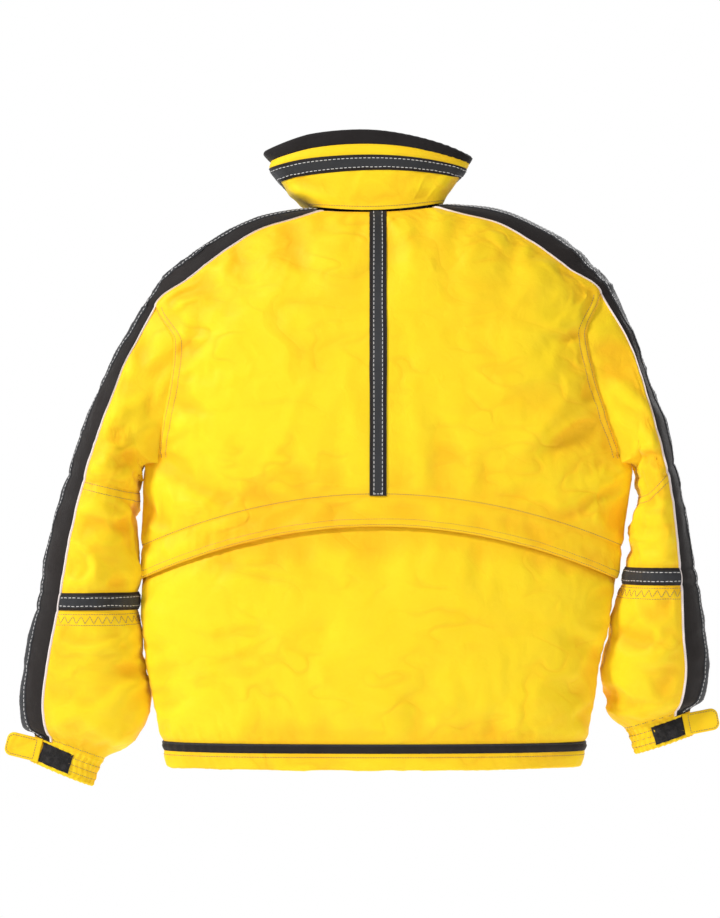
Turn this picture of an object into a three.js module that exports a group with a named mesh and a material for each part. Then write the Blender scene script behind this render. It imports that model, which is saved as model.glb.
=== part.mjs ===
import * as THREE from 'three';

// Padded ski jacket, hollow and upright, hung from the loop inside its back neck.
// Millimetres. +X is the wearer's right side, -Y the back, +Z up, the origin in the hanger loop.

// ---- Driving dimensions ----

const HALF_WIDTH = 344;       // at the widest, below the armholes
const BODY_LENGTH = 722;      // from the neck seam to the hem
const COLLAR_HEIGHT = 103;    // from the neck seam to the top edge, at the back
const WALL = 9;               // shell cloth and its padding
const LINING = 2;             // lining cloth
const TRIM = 1.2;             // bands, ribbons and patches sewn on the shell
const SEAM_GAP = 0.25;        // pulled back along each seam edge
const REST_GAP = 0.4;         // under each layer that rests on another
const RIBBON_GAP = 0.7;       // under the long ribbons, which cross folds
const ARMHOLE_SHARE = 0.09;   // of the wall, left open along the armhole seam
const UNDERARM_GAP = 3;       // at its foot, where the sleeve swings past the side
const CENTRE_Y = 20;          // side seams' plane
const FRONT_DEPTH = 75;       // from that plane to the zip
const ROUNDNESS = 2.4;        // exponent of the body's section
const SWAY = 15;              // the chest hangs this far to the right of the hem
const LEAN = 9;               // the right shoulder sits this much higher, the left lower
const COLLAR_LEAN = 13;       // the collar's top edge hangs this far to the left of its foot

const ZIP_HALF_GAP = 9;       // from the centre line to each front edge
const ZIP_MARGIN = 10;        // the zip ends this far below the collar's top edge

const BACK_BAND_WIDTH = 22;
const BACK_RIBBON_WIDTH = 13;
const SLEEVE_PANEL_WIDTH = 42;   // from the outermost line to each piping
const SLEEVE_RIBBON_WIDTH = 18;
const SLEEVE_RIBBON_START = 1.5; // it lies this far behind the outermost line
const PIPING = 3;
const CUFF_PATCH_LENGTH = 42;
const TAB_LENGTH = 46;
const TAB_THICKNESS = 3;
const TAB_ROUND = 9;
const TAB_INSET = 12;            // the tab's hinge line lies this far inside the cuff's outer edge
const TAB_MARGIN = 1;
const POCKET_X = 170;            // from the centre line to each pocket zip
const POCKET_WIDTH = 130;
const POCKET_TAPE_WIDTH = 14;
const POCKET_TAPE_DEPTH = 1.6;
const BAG = 2.5;                 // pocket bag's thickness
const LOOP_WIDTH = 56;
const LOOP_DEPTH = 12;

// The tables below are the cutting pattern, drawn at these sizes and graded to the driving ones.
const PATTERN_HALF_WIDTH = 344;
const PATTERN_LENGTH = 722;
const PATTERN_COLLAR_HEIGHT = 103;
const WIDE = HALF_WIDTH / PATTERN_HALF_WIDTH;
const TALL = BODY_LENGTH / PATTERN_LENGTH;
const COLLAR_TALL = COLLAR_HEIGHT / PATTERN_COLLAR_HEIGHT;
const ARMHOLE_GAP = ARMHOLE_SHARE * WALL * WIDE;

// Body rows from neck to hem:
// [side height, back height, front height, half width, back depth, panel edge angle]
const BODY_PATTERN = [
  [8, 0, -60, 84, 42, 35],
  [3, -14, -66, 135, 50, 44],
  [-12, -30, -74, 185, 58, 38],
  [-42, -56, -86, 237, 66, 35],
  [-77, -86, -102, 278, 71, 31],
  [-115, -118, -122, 308, 75, 21],
  [-165, -165, -165, 335, 77, 40],
  [-215, -215, -215, 344, 78, 40],
  [-270, -270, -270, 335, 78, 33],
  [-327, -320, -327, 318, 77, 20],
  [-380, -345, -380, 315, 76, 20],
  [-436, -369, -436, 312, 75, 20],
  [-477, -408, -477, 309, 75, 20],
  [-530, -480, -530, 303, 75, 20],
  [-580, -555, -580, 296, 74, 20],
  [-640, -630, -640, 286, 73, 20],
  [-688, -688, -688, 278, 72, 20],
  [-700, -700, -700, 276, 72, 20],
  [-722, -722, -722, 270, 70, 20],
];
const ROW = { shoulder: 5, underarm: 9, yoke: 11, flap: 12, hemStripe: 16, hemStrip: 17, hem: 18 };

// Collar rows from neck seam to top edge, in the same form.
const COLLAR_PATTERN = [
  [9.2, 1, -59, 84, 42, 35],
  [28, 30, -35, 100, 44, 35],
  [44, 54, -12, 113, 45, 35],
  [55, 70, 4, 122, 46, 35],
  [66, 86, 20, 130, 47, 35],
  [67, 87.5, 21.5, 131, 47, 35],
  [76, 104, 40, 137, 48, 35],
];
const COLLAR = { band: 2, bandTop: 3, facing: 4, facingStep: 5, top: 6 };

// Sleeve rings from armhole to cuff:
// [outer x, outer height, inner x, inner height, half depth, centre y], x counted outwards.
const SLEEVE_PATTERN = {
  left: [
    [311, -124, 308, -334, 51, 20],
    [334, -172, 308, -338, 56, 20],
    [360, -225, 309, -344, 60, 20],
    [385, -285, 310, -352, 63, 20],
    [403, -342, 311, -364, 65, 20],
    [428, -430, 313, -430, 64, 21],
    [441, -494, 313, -494, 61, 23],
    [445, -517, 313, -517, 60, 24],
    [457, -575, 307, -580, 58, 27],
    [465, -640, 295, -640, 53, 31],
    [462, -668, 312, -684, 42, 33],
    [447, -682, 360, -716, 24, 34],
    [455, -714, 372, -748, 23, 34],
  ],
  right: [
    [309, -106, 341, -336, 51, 20],
    [330, -154, 341, -341, 56, 20],
    [348, -203, 341, -346, 60, 20],
    [365, -253, 341, -354, 63, 20],
    [386, -326, 341, -370, 65, 20],
    [401, -398, 331, -416, 64, 21],
    [413, -463, 323, -463, 61, 23],
    [417, -483, 320, -483, 60, 24],
    [425, -545, 306, -545, 58, 27],
    [430, -595, 294, -600, 53, 31],
    [424, -634, 300, -650, 42, 33],
    [407, -650, 326, -676, 24, 34],
    [413, -680, 336, -706, 23, 34],
  ],
};
const RING = { elbow: 4, band: 6, bandEnd: 7, cuff: 11, end: 12 };

const gradeRow = ([side, back, front, half, depth, angle]) => (
  [side * TALL, back * TALL, front * TALL, half * WIDE, depth, angle]
);
const gradeRing = ([outerX, outerZ, innerX, innerZ, halfDepth, centreY]) => (
  [outerX * WIDE, outerZ * TALL, innerX * WIDE, innerZ * TALL, halfDepth, centreY]
);

// The collar's heights above the neck seam follow its own size.
function gradeCollarRow([side, back, front, half, depth, angle]) {
  const heights = [side, back, front].map((height, k) => {
    const neck = COLLAR_PATTERN[0][k];
    return neck * TALL + (height - neck) * COLLAR_TALL;
  });
  return [...heights, half * WIDE, depth, angle];
}

const BODY_ROWS = BODY_PATTERN.map(gradeRow);
const COLLAR_ROWS = COLLAR_PATTERN.map(gradeCollarRow);
const SLEEVE_RINGS = {
  left: SLEEVE_PATTERN.left.map(gradeRing),
  right: SLEEVE_PATTERN.right.map(gradeRing),
};
const BACK_HEIGHT = 1;           // its place in a row
const FRONT_HEIGHT = 2;
const ZIP_BOTTOM = BODY_ROWS[ROW.hemStrip][FRONT_HEIGHT];
const ZIP_TOP = COLLAR_ROWS[COLLAR.top][FRONT_HEIGHT] - ZIP_MARGIN;

// ---- Materials ----

function cloth(colour, roughness) {
  return new THREE.MeshStandardMaterial({ color: colour, roughness, metalness: 0 });
}

const YELLOW = cloth(0xffe128, 0.75);
const BLACK = cloth(0x2d2626, 0.8);
const RIBBON = cloth(0x444446, 0.7);
const WHITE = cloth(0xf3e8e6, 0.6);
const LINING_CLOTH = cloth(0x2b2b30, 0.6);
const HOOK = cloth(0x151515, 0.95);
const METAL = new THREE.MeshStandardMaterial({ color: 0x8d8d90, roughness: 0.35, metalness: 0.9 });

const jacket = new THREE.Group();

function add(name, geometry, material, place = null) {
  const mesh = new THREE.Mesh(geometry, material);
  mesh.name = name;
  if (place) {
    mesh.applyMatrix4(place);
  }
  jacket.add(mesh);
}

// ---- Curved surfaces as grids of points ----

// Columns run round the surface, anticlockwise from above where turn is 1. Normals point out.
class Surface {
  constructor(columns, rows, closed, turn, pointAt) {
    this.columns = columns;
    this.rows = rows;
    this.closed = closed;
    this.turn = turn;
    this.points = [];
    for (let c = 0; c < columns; c += 1) {
      this.points.push(Array.from({ length: rows }, (_, r) => pointAt(c, r)));
    }
    this.normals = this.points.map((line, c) => line.map((_, r) => this.normalAt(c, r)));
  }

  grid(list, c, r) {
    const column = this.closed ? (c + this.columns) % this.columns : c;
    return list[column][r];
  }

  normalAt(c, r) {
    const left = this.closed ? c - 1 : Math.max(c - 1, 0);
    const right = this.closed ? c + 1 : Math.min(c + 1, this.columns - 1);
    const across = this.grid(this.points, right, r).clone().sub(this.grid(this.points, left, r));
    const upper = this.grid(this.points, c, Math.max(r - 1, 0));
    const lower = this.grid(this.points, c, Math.min(r + 1, this.rows - 1));
    return lower.clone().sub(upper).cross(across).normalize().multiplyScalar(this.turn);
  }

  blend(list, c, r) {
    const c0 = Math.floor(c);
    const r0 = Math.min(Math.floor(r), this.rows - 1);
    const r1 = Math.min(r0 + 1, this.rows - 1);
    const c1 = c === c0 ? c0 : c0 + 1;
    const top = this.grid(list, c0, r0).clone().lerp(this.grid(list, c1, r0), c - c0);
    const bottom = this.grid(list, c0, r1).clone().lerp(this.grid(list, c1, r1), c - c0);
    return top.lerp(bottom, r - r0);
  }

  at(c, r, height = 0) {
    return this.blend(this.points, c, r).addScaledVector(this.blend(this.normals, c, r), height);
  }

  // The column that lies a distance in millimetres from column c, along row r.
  walk(c, r, distance) {
    const step = Math.sign(distance);
    let left = Math.abs(distance);
    let column = c;
    for (;;) {
      const cell = this.at(column, r).distanceTo(this.at(column + step, r));
      if (cell >= left) {
        return column + (step * left) / cell;
      }
      left -= cell;
      column += step;
    }
  }
}

// A closed slab over cells of a surface, from height low to height high above it.
// columns(r) lists the column lines at row r, and keep(i, j) says which cells it covers.
function slab(surface, columns, rows, low, high, options = {}) {
  const { keep = () => true, around = false } = options;
  const lines = rows.map((r) => columns(r));
  const across = lines[0].length;
  const down = rows.length;
  const cellsAcross = around ? across : across - 1;
  const wrap = (i) => (around ? (i + across) % across : i);
  const kept = (i, j) => {
    const inside = j >= 0 && j < down - 1 && (around || (i >= 0 && i < cellsAcross));
    return inside && keep(wrap(i), j);
  };
  const base = (i, j) => {
    const turn = around && i >= across ? surface.columns : 0;
    const back = around && i < 0 ? surface.columns : 0;
    return surface.at(lines[j][wrap(i)] + turn - back, rows[j]);
  };
  const centre = (i, j) => {
    const corners = [base(i, j), base(i + 1, j), base(i, j + 1), base(i + 1, j + 1)];
    return corners.reduce((sum, p) => sum.add(p), new THREE.Vector3()).multiplyScalar(0.25);
  };
  const positions = [];
  const index = new Map();
  const height = (level, j) => (typeof level === 'function' ? level(rows[j]) : level);
  const vertex = (i, j, upper) => {
    const key = `${wrap(i)},${j},${upper}`;
    if (!index.has(key)) {
      const near = [[i - 1, j - 1], [i, j - 1], [i - 1, j], [i, j]].filter(([a, b]) => kept(a, b));
      const shift = new THREE.Vector3();
      if (near.length < 4) {
        for (const [a, b] of near) {
          shift.add(centre(a, b).sub(base(i, j)).normalize());
        }
        shift.normalize().multiplyScalar(SEAM_GAP);
      }
      const level = height(upper ? high : low, j);
      const point = surface.at(lines[j][wrap(i)], rows[j], level).add(shift);
      index.set(key, positions.length / 3);
      positions.push(point.x, point.y, point.z);
    }
    return index.get(key);
  };
  const triangles = [];
  const quad = (a, b, c, d) => triangles.push(a, b, c, a, c, d);
  for (let i = 0; i < cellsAcross; i += 1) {
    for (let j = 0; j < down - 1; j += 1) {
      if (!kept(i, j)) {
        continue;
      }
      const top = [vertex(i, j, 1), vertex(i + 1, j, 1), vertex(i + 1, j + 1, 1), vertex(i, j + 1, 1)];
      const low4 = [vertex(i, j, 0), vertex(i + 1, j, 0), vertex(i + 1, j + 1, 0), vertex(i, j + 1, 0)];
      const beside = [[i, j - 1], [i + 1, j], [i, j + 1], [i - 1, j]];
      quad(top[0], top[3], top[2], top[1]);
      quad(low4[0], low4[1], low4[2], low4[3]);
      beside.forEach(([a, b], side) => {
        if (!kept(a, b)) {
          const next = (side + 1) % 4;
          const wall = [top[side], top[next], low4[next], low4[side]];
          quad(...(side < 2 ? wall : [wall[1], wall[2], wall[3], wall[0]]));
        }
      });
    }
  }
  return closedGeometry(positions, triangles);
}

function closedGeometry(positions, triangles) {
  const corner = (k) => new THREE.Vector3().fromArray(positions, 3 * k);
  let volume = 0;
  for (let k = 0; k < triangles.length; k += 3) {
    const [a, b, c] = [0, 1, 2].map((n) => corner(triangles[k + n]));
    volume += a.dot(b.cross(c));
  }
  if (volume < 0) {
    triangles.reverse();
  }
  const geometry = new THREE.BufferGeometry();
  geometry.setAttribute('position', new THREE.Float32BufferAttribute(positions, 3));
  geometry.setIndex(triangles);
  geometry.computeVertexNormals();
  return geometry;
}

function span(from, to) {
  return Array.from({ length: to - from + 1 }, (_, k) => from + k);
}

// ---- Body and collar surfaces ----

// Columns run round the body from the zip's left edge over the left side to the back,
// and over the right side to the zip's right edge.
const PANEL_CELLS = 2;
const WIDE_CELLS = 5;
const HALF_CELLS = PANEL_CELLS + WIDE_CELLS;
const COL = {
  zipLeft: 0,
  frontPanelLeft: WIDE_CELLS,
  sideLeft: HALF_CELLS,
  panelLeft: HALF_CELLS + PANEL_CELLS,
  back: 2 * HALF_CELLS,
  panelRight: 3 * HALF_CELLS - PANEL_CELLS,
  sideRight: 3 * HALF_CELLS,
  frontPanelRight: 3 * HALF_CELLS + PANEL_CELLS,
  zipRight: 4 * HALF_CELLS,
};

// The angle from the side seam of a column, where 90 is the centre of the front or back.
function columnAngle(stepsFromSide, panelAngle, lastAngle) {
  if (stepsFromSide <= PANEL_CELLS) {
    return (panelAngle * stepsFromSide) / PANEL_CELLS;
  }
  return panelAngle + ((lastAngle - panelAngle) * (stepsFromSide - PANEL_CELLS)) / WIDE_CELLS;
}

// How far the sway and the lean reach, as heights.
const SHOULDER_DROP = -115 * TALL;
const UNDERARM_DROP = -327 * TALL;
const SWAY_FULL = -325 * TALL;
const SWAY_END = -545 * TALL;
const HEM_SWAY = -5;
const HALF_WIDTH_PLACE = 3;      // its place in a row

// 0 at the low height or below, 1 at the high one or above.
function fadeBetween(height, low, high) {
  return THREE.MathUtils.clamp((height - low) / (high - low), 0, 1);
}

// The body swings sideways from the shoulders to the underarms and part of the way back below.
function swayAt(height) {
  if (height > SWAY_FULL) {
    return SWAY * (1 - fadeBetween(height, SWAY_FULL, SHOULDER_DROP));
  }
  return HEM_SWAY + (SWAY - HEM_SWAY) * fadeBetween(height, SWAY_END, SWAY_FULL);
}

function bodyPoint(rows, c, r) {
  const [sideZ, backZ, frontZ, halfWidth, backDepth, panelAngle] = rows[r];
  const left = c < COL.back;
  const side = left ? COL.sideLeft : COL.sideRight;
  const isBack = c >= COL.sideLeft && c <= COL.sideRight;
  const zipShare = (ZIP_HALF_GAP / halfWidth) ** (ROUNDNESS / 2);
  const lastAngle = isBack ? 90 : THREE.MathUtils.radToDeg(Math.acos(zipShare));
  const angle = THREE.MathUtils.degToRad(columnAngle(Math.abs(c - side), panelAngle, lastAngle));
  const share = Math.abs(Math.cos(angle)) ** (2 / ROUNDNESS);
  const reach = Math.abs(Math.sin(angle)) ** (2 / ROUNDNESS);
  const x = (left ? -share : share) * halfWidth + swayAt(sideZ) * share;
  const y = CENTRE_Y + reach * (isBack ? -backDepth : FRONT_DEPTH);
  const middleZ = isBack ? backZ : frontZ;
  const leanFade = fadeBetween(sideZ, UNDERARM_DROP, SHOULDER_DROP);
  const lean = (LEAN * leanFade * x) / BODY_ROWS[ROW.shoulder][HALF_WIDTH_PLACE];
  const z = sideZ + (middleZ - sideZ) * (1 - share * share) + lean;
  return new THREE.Vector3(x, y, z);
}

const BODY_COLUMNS = 4 * HALF_CELLS + 1;
const bodyShape = (c, r) => bodyPoint(BODY_ROWS, c, r);
const body = new Surface(BODY_COLUMNS, BODY_ROWS.length, false, 1, bodyShape);

// The collar leans to one side, but not at the zip.
function collarShape(c, r) {
  const point = bodyPoint(COLLAR_ROWS, c, r);
  const fromZip = Math.min(c, BODY_COLUMNS - 1 - c, WIDE_CELLS) / WIDE_CELLS;
  const rise = (COLLAR_ROWS[r][BACK_HEIGHT] - COLLAR_ROWS[0][BACK_HEIGHT]) / COLLAR_HEIGHT;
  point.x -= COLLAR_LEAN * fromZip * rise;
  return point;
}

const collar = new Surface(BODY_COLUMNS, COLLAR_ROWS.length, false, -1, collarShape);

function bodyTile(name, material, columnRange, rowRange, low, high, keep = () => true) {
  const columns = span(...columnRange);
  const rows = span(...rowRange);
  const covered = (i, j) => keep(columns[i], rows[j]);
  add(name, slab(body, () => columns, rows, low, high, { keep: covered }), material);
}

// The armhole is open between the panel edge columns, from the shoulder to the underarm.
function besideArmhole(c, r) {
  const inLeft = c >= COL.frontPanelLeft && c < COL.panelLeft;
  const inRight = c >= COL.panelRight && c < COL.frontPanelRight;
  return r >= ROW.underarm || !(inLeft || inRight);
}

// ---- Body shell ----

bodyTile('upper_back_panel', YELLOW, [COL.sideLeft, COL.sideRight], [0, ROW.yoke], -WALL, 0, besideArmhole);
bodyTile('back_vent_flap', YELLOW, [COL.sideLeft, COL.sideRight], [ROW.yoke, ROW.flap], -WALL, 2);
bodyTile('lower_back_panel', YELLOW, [COL.sideLeft, COL.sideRight], [ROW.flap, ROW.hemStripe], -WALL, 0);
bodyTile('front_panel_left', YELLOW, [COL.zipLeft, COL.sideLeft], [0, ROW.hemStripe],
  -WALL, 0, besideArmhole);
bodyTile('front_panel_right', YELLOW, [COL.sideRight, COL.zipRight], [0, ROW.hemStripe],
  -WALL, 0, besideArmhole);
bodyTile('hem_stripe', BLACK, [COL.zipLeft, COL.zipRight], [ROW.hemStripe, ROW.hemStrip], -WALL, 1);
bodyTile('hem_strip', YELLOW, [COL.zipLeft, COL.zipRight], [ROW.hemStrip, ROW.hem], -WALL, 0);

for (const [side, from, to] of [
  ['left', COL.frontPanelLeft, COL.panelLeft],
  ['right', COL.panelRight, COL.frontPanelRight],
]) {
  bodyTile(`shoulder_panel_${side}`, BLACK, [from, to], [0, ROW.shoulder], -WALL, 0);
}

// A strip of tape between two distances from a column.
function bodyStrip(name, material, column, [from, to], rows, low, high) {
  const crossing = from < 0 && to > 0 ? [column] : [];
  const columns = (r) => [body.walk(column, r, from), ...crossing, body.walk(column, r, to)];
  add(name, slab(body, columns, rows, low, high), material);
}

const centred = (width) => [-width / 2, width / 2];

// Ribbon and piping run from the neck to the shoulder point, and on over the sleeve.
const NECK_CLEAR = 0.2;          // of a row, kept free below the neck seam
const SHOULDER_ROWS = [NECK_CLEAR, ...span(1, ROW.shoulder)];
const RIBBON_EDGES = [SLEEVE_RIBBON_START, SLEEVE_RIBBON_START + SLEEVE_RIBBON_WIDTH];
for (const [side, middle, edge, edges] of [
  ['left', COL.sideLeft, COL.panelLeft, RIBBON_EDGES],
  ['right', COL.sideRight, COL.panelRight, RIBBON_EDGES.map((distance) => -distance).reverse()],
]) {
  const low = RIBBON_GAP;
  bodyStrip(`shoulder_ribbon_${side}`, RIBBON, middle, edges, SHOULDER_ROWS, low, low + TRIM);
  bodyStrip(`shoulder_piping_${side}`, WHITE, edge, centred(PIPING), SHOULDER_ROWS, low, low + PIPING / 2);
}

const BAND_ROWS = span(0, ROW.yoke);
const RIBBON_LOW = REST_GAP + TRIM + REST_GAP;
const RIBBON_HIGH = RIBBON_LOW + TRIM / 2;
const bandEdges = centred(BACK_BAND_WIDTH);
const ribbonEdges = centred(BACK_RIBBON_WIDTH);
bodyStrip('centre_back_band', BLACK, COL.back, bandEdges, BAND_ROWS, REST_GAP, REST_GAP + TRIM);
bodyStrip('centre_back_ribbon', RIBBON, COL.back, ribbonEdges, BAND_ROWS, RIBBON_LOW, RIBBON_HIGH);

// ---- Collar ----

const ALL_COLUMNS = span(COL.zipLeft, COL.zipRight);
const FACING_BACK = -WALL - REST_GAP - LINING;
const facingOuter = (r) => (r >= COLLAR.facingStep ? 0 : -WALL - REST_GAP);
const collarSlab = (rows, low, high) => slab(collar, () => ALL_COLUMNS, rows, low, high);
const bandRows = [COLLAR.band, COLLAR.bandTop];
const RIBBON_INSET = 0.2;        // of the band's height, at each edge of its ribbon
const FACING_CLEAR = 0.25;       // of a row, between the shell's top and the facing's step
const ribbonRows = [COLLAR.band + RIBBON_INSET, COLLAR.bandTop - RIBBON_INSET];
const shellRows = [...span(0, COLLAR.facing - 1), COLLAR.facing - FACING_CLEAR];

add('collar_shell', collarSlab(shellRows, -WALL, 0), YELLOW);
add('collar_facing', collarSlab(span(0, COLLAR.top), FACING_BACK, facingOuter), BLACK);
add('collar_band', collarSlab(bandRows, REST_GAP, REST_GAP + TRIM), BLACK);
add('collar_ribbon', collarSlab(ribbonRows, RIBBON_LOW, RIBBON_HIGH), RIBBON);

// ---- Lining and pocket bags ----

const LINING_ROWS = [1, ROW.hem];
const BACK_LINING = -WALL - REST_GAP;
const FRONT_LINING = -WALL - 2 * REST_GAP - BAG;
bodyTile('lining_back', LINING_CLOTH, [COL.sideLeft, COL.sideRight], LINING_ROWS,
  BACK_LINING - LINING, BACK_LINING, besideArmhole);
bodyTile('lining_front_left', LINING_CLOTH, [COL.zipLeft, COL.sideLeft], LINING_ROWS,
  FRONT_LINING - LINING, FRONT_LINING, besideArmhole);
bodyTile('lining_front_right', LINING_CLOTH, [COL.sideRight, COL.zipRight], LINING_ROWS,
  FRONT_LINING - LINING, FRONT_LINING, besideArmhole);

const POCKET_ROWS = span(ROW.flap, ROW.flap + 3);

function pocketColumn(side, r) {
  const edge = side === 'left' ? COL.zipLeft : COL.zipRight;
  const inwards = side === 'left' ? 1 : -1;
  return body.walk(edge, r, inwards * (POCKET_X - ZIP_HALF_GAP));
}

// The body's own column lines that lie inside the strip in every row are among its lines.
function pocketStrip(side, width, rows, low, high) {
  const edge = (r, sign) => body.walk(pocketColumn(side, r), r, (sign * width) / 2);
  const first = Math.ceil(Math.max(...rows.map((r) => edge(r, -1))));
  const last = Math.floor(Math.min(...rows.map((r) => edge(r, 1))));
  const inside = width === POCKET_WIDTH ? span(first, last) : null;
  const columns = (r) => [edge(r, -1), ...(inside ?? [pocketColumn(side, r)]), edge(r, 1)];
  return slab(body, columns, rows, low, high);
}

const SLIDER = { width: 9, depth: 2.4, height: 13, gap: 0.7, drop: 0.15 };
const PULL = { width: 6, depth: 1.6, length: 30 };

for (const side of ['left', 'right']) {
  const inner = -WALL - REST_GAP;
  const tapeTop = REST_GAP + POCKET_TAPE_DEPTH;
  add(`pocket_bag_${side}`, pocketStrip(side, POCKET_WIDTH, POCKET_ROWS, inner - BAG, inner), LINING_CLOTH);
  add(`pocket_zip_${side}`, pocketStrip(side, POCKET_TAPE_WIDTH, POCKET_ROWS, REST_GAP, tapeTop), BLACK);
  const row = ROW.flap + SLIDER.drop;
  const column = pocketColumn(side, row);
  const seat = body.at(column, row, tapeTop + SLIDER.gap);
  const outwards = body.blend(body.normals, column, row);
  const turn = new THREE.Matrix4().makeRotationZ(Math.atan2(-outwards.x, outwards.y));
  const place = new THREE.Matrix4().makeTranslation(seat.x, seat.y, seat.z).multiply(turn);
  const slider = new THREE.BoxGeometry(SLIDER.width, SLIDER.depth, SLIDER.height);
  add(`pocket_slider_${side}`, slider.translate(0, SLIDER.depth / 2, 0), METAL, place);
  const pull = new THREE.BoxGeometry(PULL.width, PULL.depth, PULL.length);
  const pullY = SLIDER.depth + REST_GAP + PULL.depth / 2;
  add(`pocket_pull_${side}`, pull.translate(0, pullY, (PULL.depth - PULL.length) / 2), BLACK, place);
}

// ---- Main zip ----

const TEETH_HALF_GAP = 0.6;
const TEETH_WIDTH = 2.4;
const TEETH_DEPTH = 3;
const TEETH_INSET = 5;           // the teeth lie this far behind the front
const TEETH_Y = CENTRE_Y + FRONT_DEPTH - TEETH_INSET;
const TAPE_DEPTH = 1;
const TAPE_GAP = 0.3;
const TAPE_MARGIN = 0.8;
const BOX = { width: 10, depth: 6, height: 12, gap: 0.5 };
const ZIP_LENGTH = ZIP_TOP - ZIP_BOTTOM;
const ZIP_MIDDLE = (ZIP_TOP + ZIP_BOTTOM) / 2;

for (const [side, sign] of [['left', -1], ['right', 1]]) {
  const teethX = TEETH_HALF_GAP + TEETH_WIDTH / 2;
  const tapeFrom = TEETH_HALF_GAP + TEETH_WIDTH + TAPE_GAP;
  const tapeTo = ZIP_HALF_GAP - TAPE_MARGIN;
  const teeth = new THREE.BoxGeometry(TEETH_WIDTH, TEETH_DEPTH, ZIP_LENGTH);
  const tape = new THREE.BoxGeometry(tapeTo - tapeFrom, TAPE_DEPTH, ZIP_LENGTH);
  add(`zip_teeth_${side}`, teeth.translate(sign * teethX, TEETH_Y, ZIP_MIDDLE), BLACK);
  add(`zip_tape_${side}`, tape.translate((sign * (tapeFrom + tapeTo)) / 2, TEETH_Y, ZIP_MIDDLE), BLACK);
}
const zipBox = new THREE.BoxGeometry(BOX.width, BOX.depth, BOX.height);
add('zip_box', zipBox.translate(0, TEETH_Y, ZIP_BOTTOM - BOX.gap - BOX.height / 2), METAL);

// The slider's two plates are joined by a thin web that runs in the gap between the teeth.
const SLIDER_HEIGHT = 15;
const SLIDER_Z = ZIP_TOP - SLIDER_HEIGHT / 2;
const SLIDER_HALF_WIDTH = 5.5;
const WEB_HALF_WIDTH = 0.3;
const PLATE = 2;
const PLATE_Y = TEETH_DEPTH / 2 + REST_GAP;
const ZIP_PULL = { width: 7, depth: 1.8, length: 42 };

function sliderGeometry() {
  const half = SLIDER_HALF_WIDTH;
  const web = WEB_HALF_WIDTH;
  const outline = new THREE.Shape();
  outline.moveTo(-half, PLATE_Y + PLATE);
  outline.lineTo(-half, PLATE_Y);
  outline.lineTo(-web, PLATE_Y);
  outline.lineTo(-web, -PLATE_Y);
  outline.lineTo(-half, -PLATE_Y);
  outline.lineTo(-half, -PLATE_Y - PLATE);
  outline.lineTo(half, -PLATE_Y - PLATE);
  outline.lineTo(half, -PLATE_Y);
  outline.lineTo(web, -PLATE_Y);
  outline.lineTo(web, PLATE_Y);
  outline.lineTo(half, PLATE_Y);
  outline.lineTo(half, PLATE_Y + PLATE);
  outline.closePath();
  return new THREE.ExtrudeGeometry(outline, { depth: SLIDER_HEIGHT, bevelEnabled: false });
}
add('zip_slider', sliderGeometry().translate(0, TEETH_Y, SLIDER_Z - SLIDER_HEIGHT / 2), METAL);
const PULL_Y = TEETH_Y + PLATE_Y + PLATE + REST_GAP + ZIP_PULL.depth / 2;
const zipPull = new THREE.BoxGeometry(ZIP_PULL.width, ZIP_PULL.depth, ZIP_PULL.length);
add('zip_pull', zipPull.translate(0, PULL_Y, SLIDER_Z + (ZIP_PULL.depth - ZIP_PULL.length) / 2), BLACK);

// ---- Hanger loop ----

const LOOP_TAPE = { width: 6, depth: 1.4, steps: 24 };
const LOOP_CLEAR = 2;            // its ends lie on the inside of the back neck
const LOOP_FLARE = 5.1;
const LOOP_SEWN_Y = CENTRE_Y - BODY_ROWS[0][4] + WALL + REST_GAP + LINING + LOOP_CLEAR;
const LOOP_FLARE_Y = LOOP_SEWN_Y + LOOP_FLARE;

function hangerLoop() {
  const ends = LOOP_WIDTH / 2;
  const front = LOOP_SEWN_Y + LOOP_DEPTH;
  const half = [
    new THREE.Vector3(ends, LOOP_SEWN_Y, 1),
    new THREE.Vector3(ends * 0.8, LOOP_FLARE_Y, 1.5),
    new THREE.Vector3(ends * 0.4, front - 0.4, 2.5),
  ];
  const mirrored = half.map((point) => new THREE.Vector3(-point.x, point.y, point.z));
  const middle = new THREE.Vector3(0, front + 0.6, 3);
  const path = new THREE.CatmullRomCurve3([...mirrored, middle, ...half.reverse()]);
  const x = LOOP_TAPE.width / 2;
  const y = LOOP_TAPE.depth / 2;
  const strap = new THREE.Shape();
  strap.moveTo(-x, -y);
  strap.lineTo(x, -y);
  strap.lineTo(x, y);
  strap.lineTo(-x, y);
  strap.closePath();
  return new THREE.ExtrudeGeometry(strap, { steps: LOOP_TAPE.steps, extrudePath: path });
}
add('hanger_loop', hangerLoop(), BLACK);

// ---- Sleeves ----

// Columns run round the sleeve from its outermost line over the back to the inner line and on.
const SLEEVE_COLUMNS = 16;
const SLEEVE_PANEL = 2;
const PANEL_SHOWN = 0.72;        // of the panel's width, seen square on from behind
const PANEL_LEAST = 0.5;         // of the sleeve's half width that stays for the rest

const PATCH_START = 1.5;         // the column where the cuff patch starts
const PATCH_INSET = 0.15;        // of the cuff's length, left free at each side of it

// The armhole seam's vertices on the body, from the shoulder point over the back to the underarm
// and up the front again, one for each sleeve column.
function armholeCorner(side, c) {
  const behind = c <= SLEEVE_COLUMNS / 2;
  const steps = behind ? c : SLEEVE_COLUMNS - c;
  const towardsBack = (side === 'left') === behind ? 1 : -1;
  const middle = side === 'left' ? COL.sideLeft : COL.sideRight;
  const last = SLEEVE_COLUMNS / 2 - steps;
  const fromSide = Math.min(steps, last, PANEL_CELLS);
  const row = THREE.MathUtils.clamp(ROW.shoulder + steps - PANEL_CELLS, ROW.shoulder, ROW.underarm);
  return [middle + towardsBack * fromSide, row, steps];
}

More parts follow.
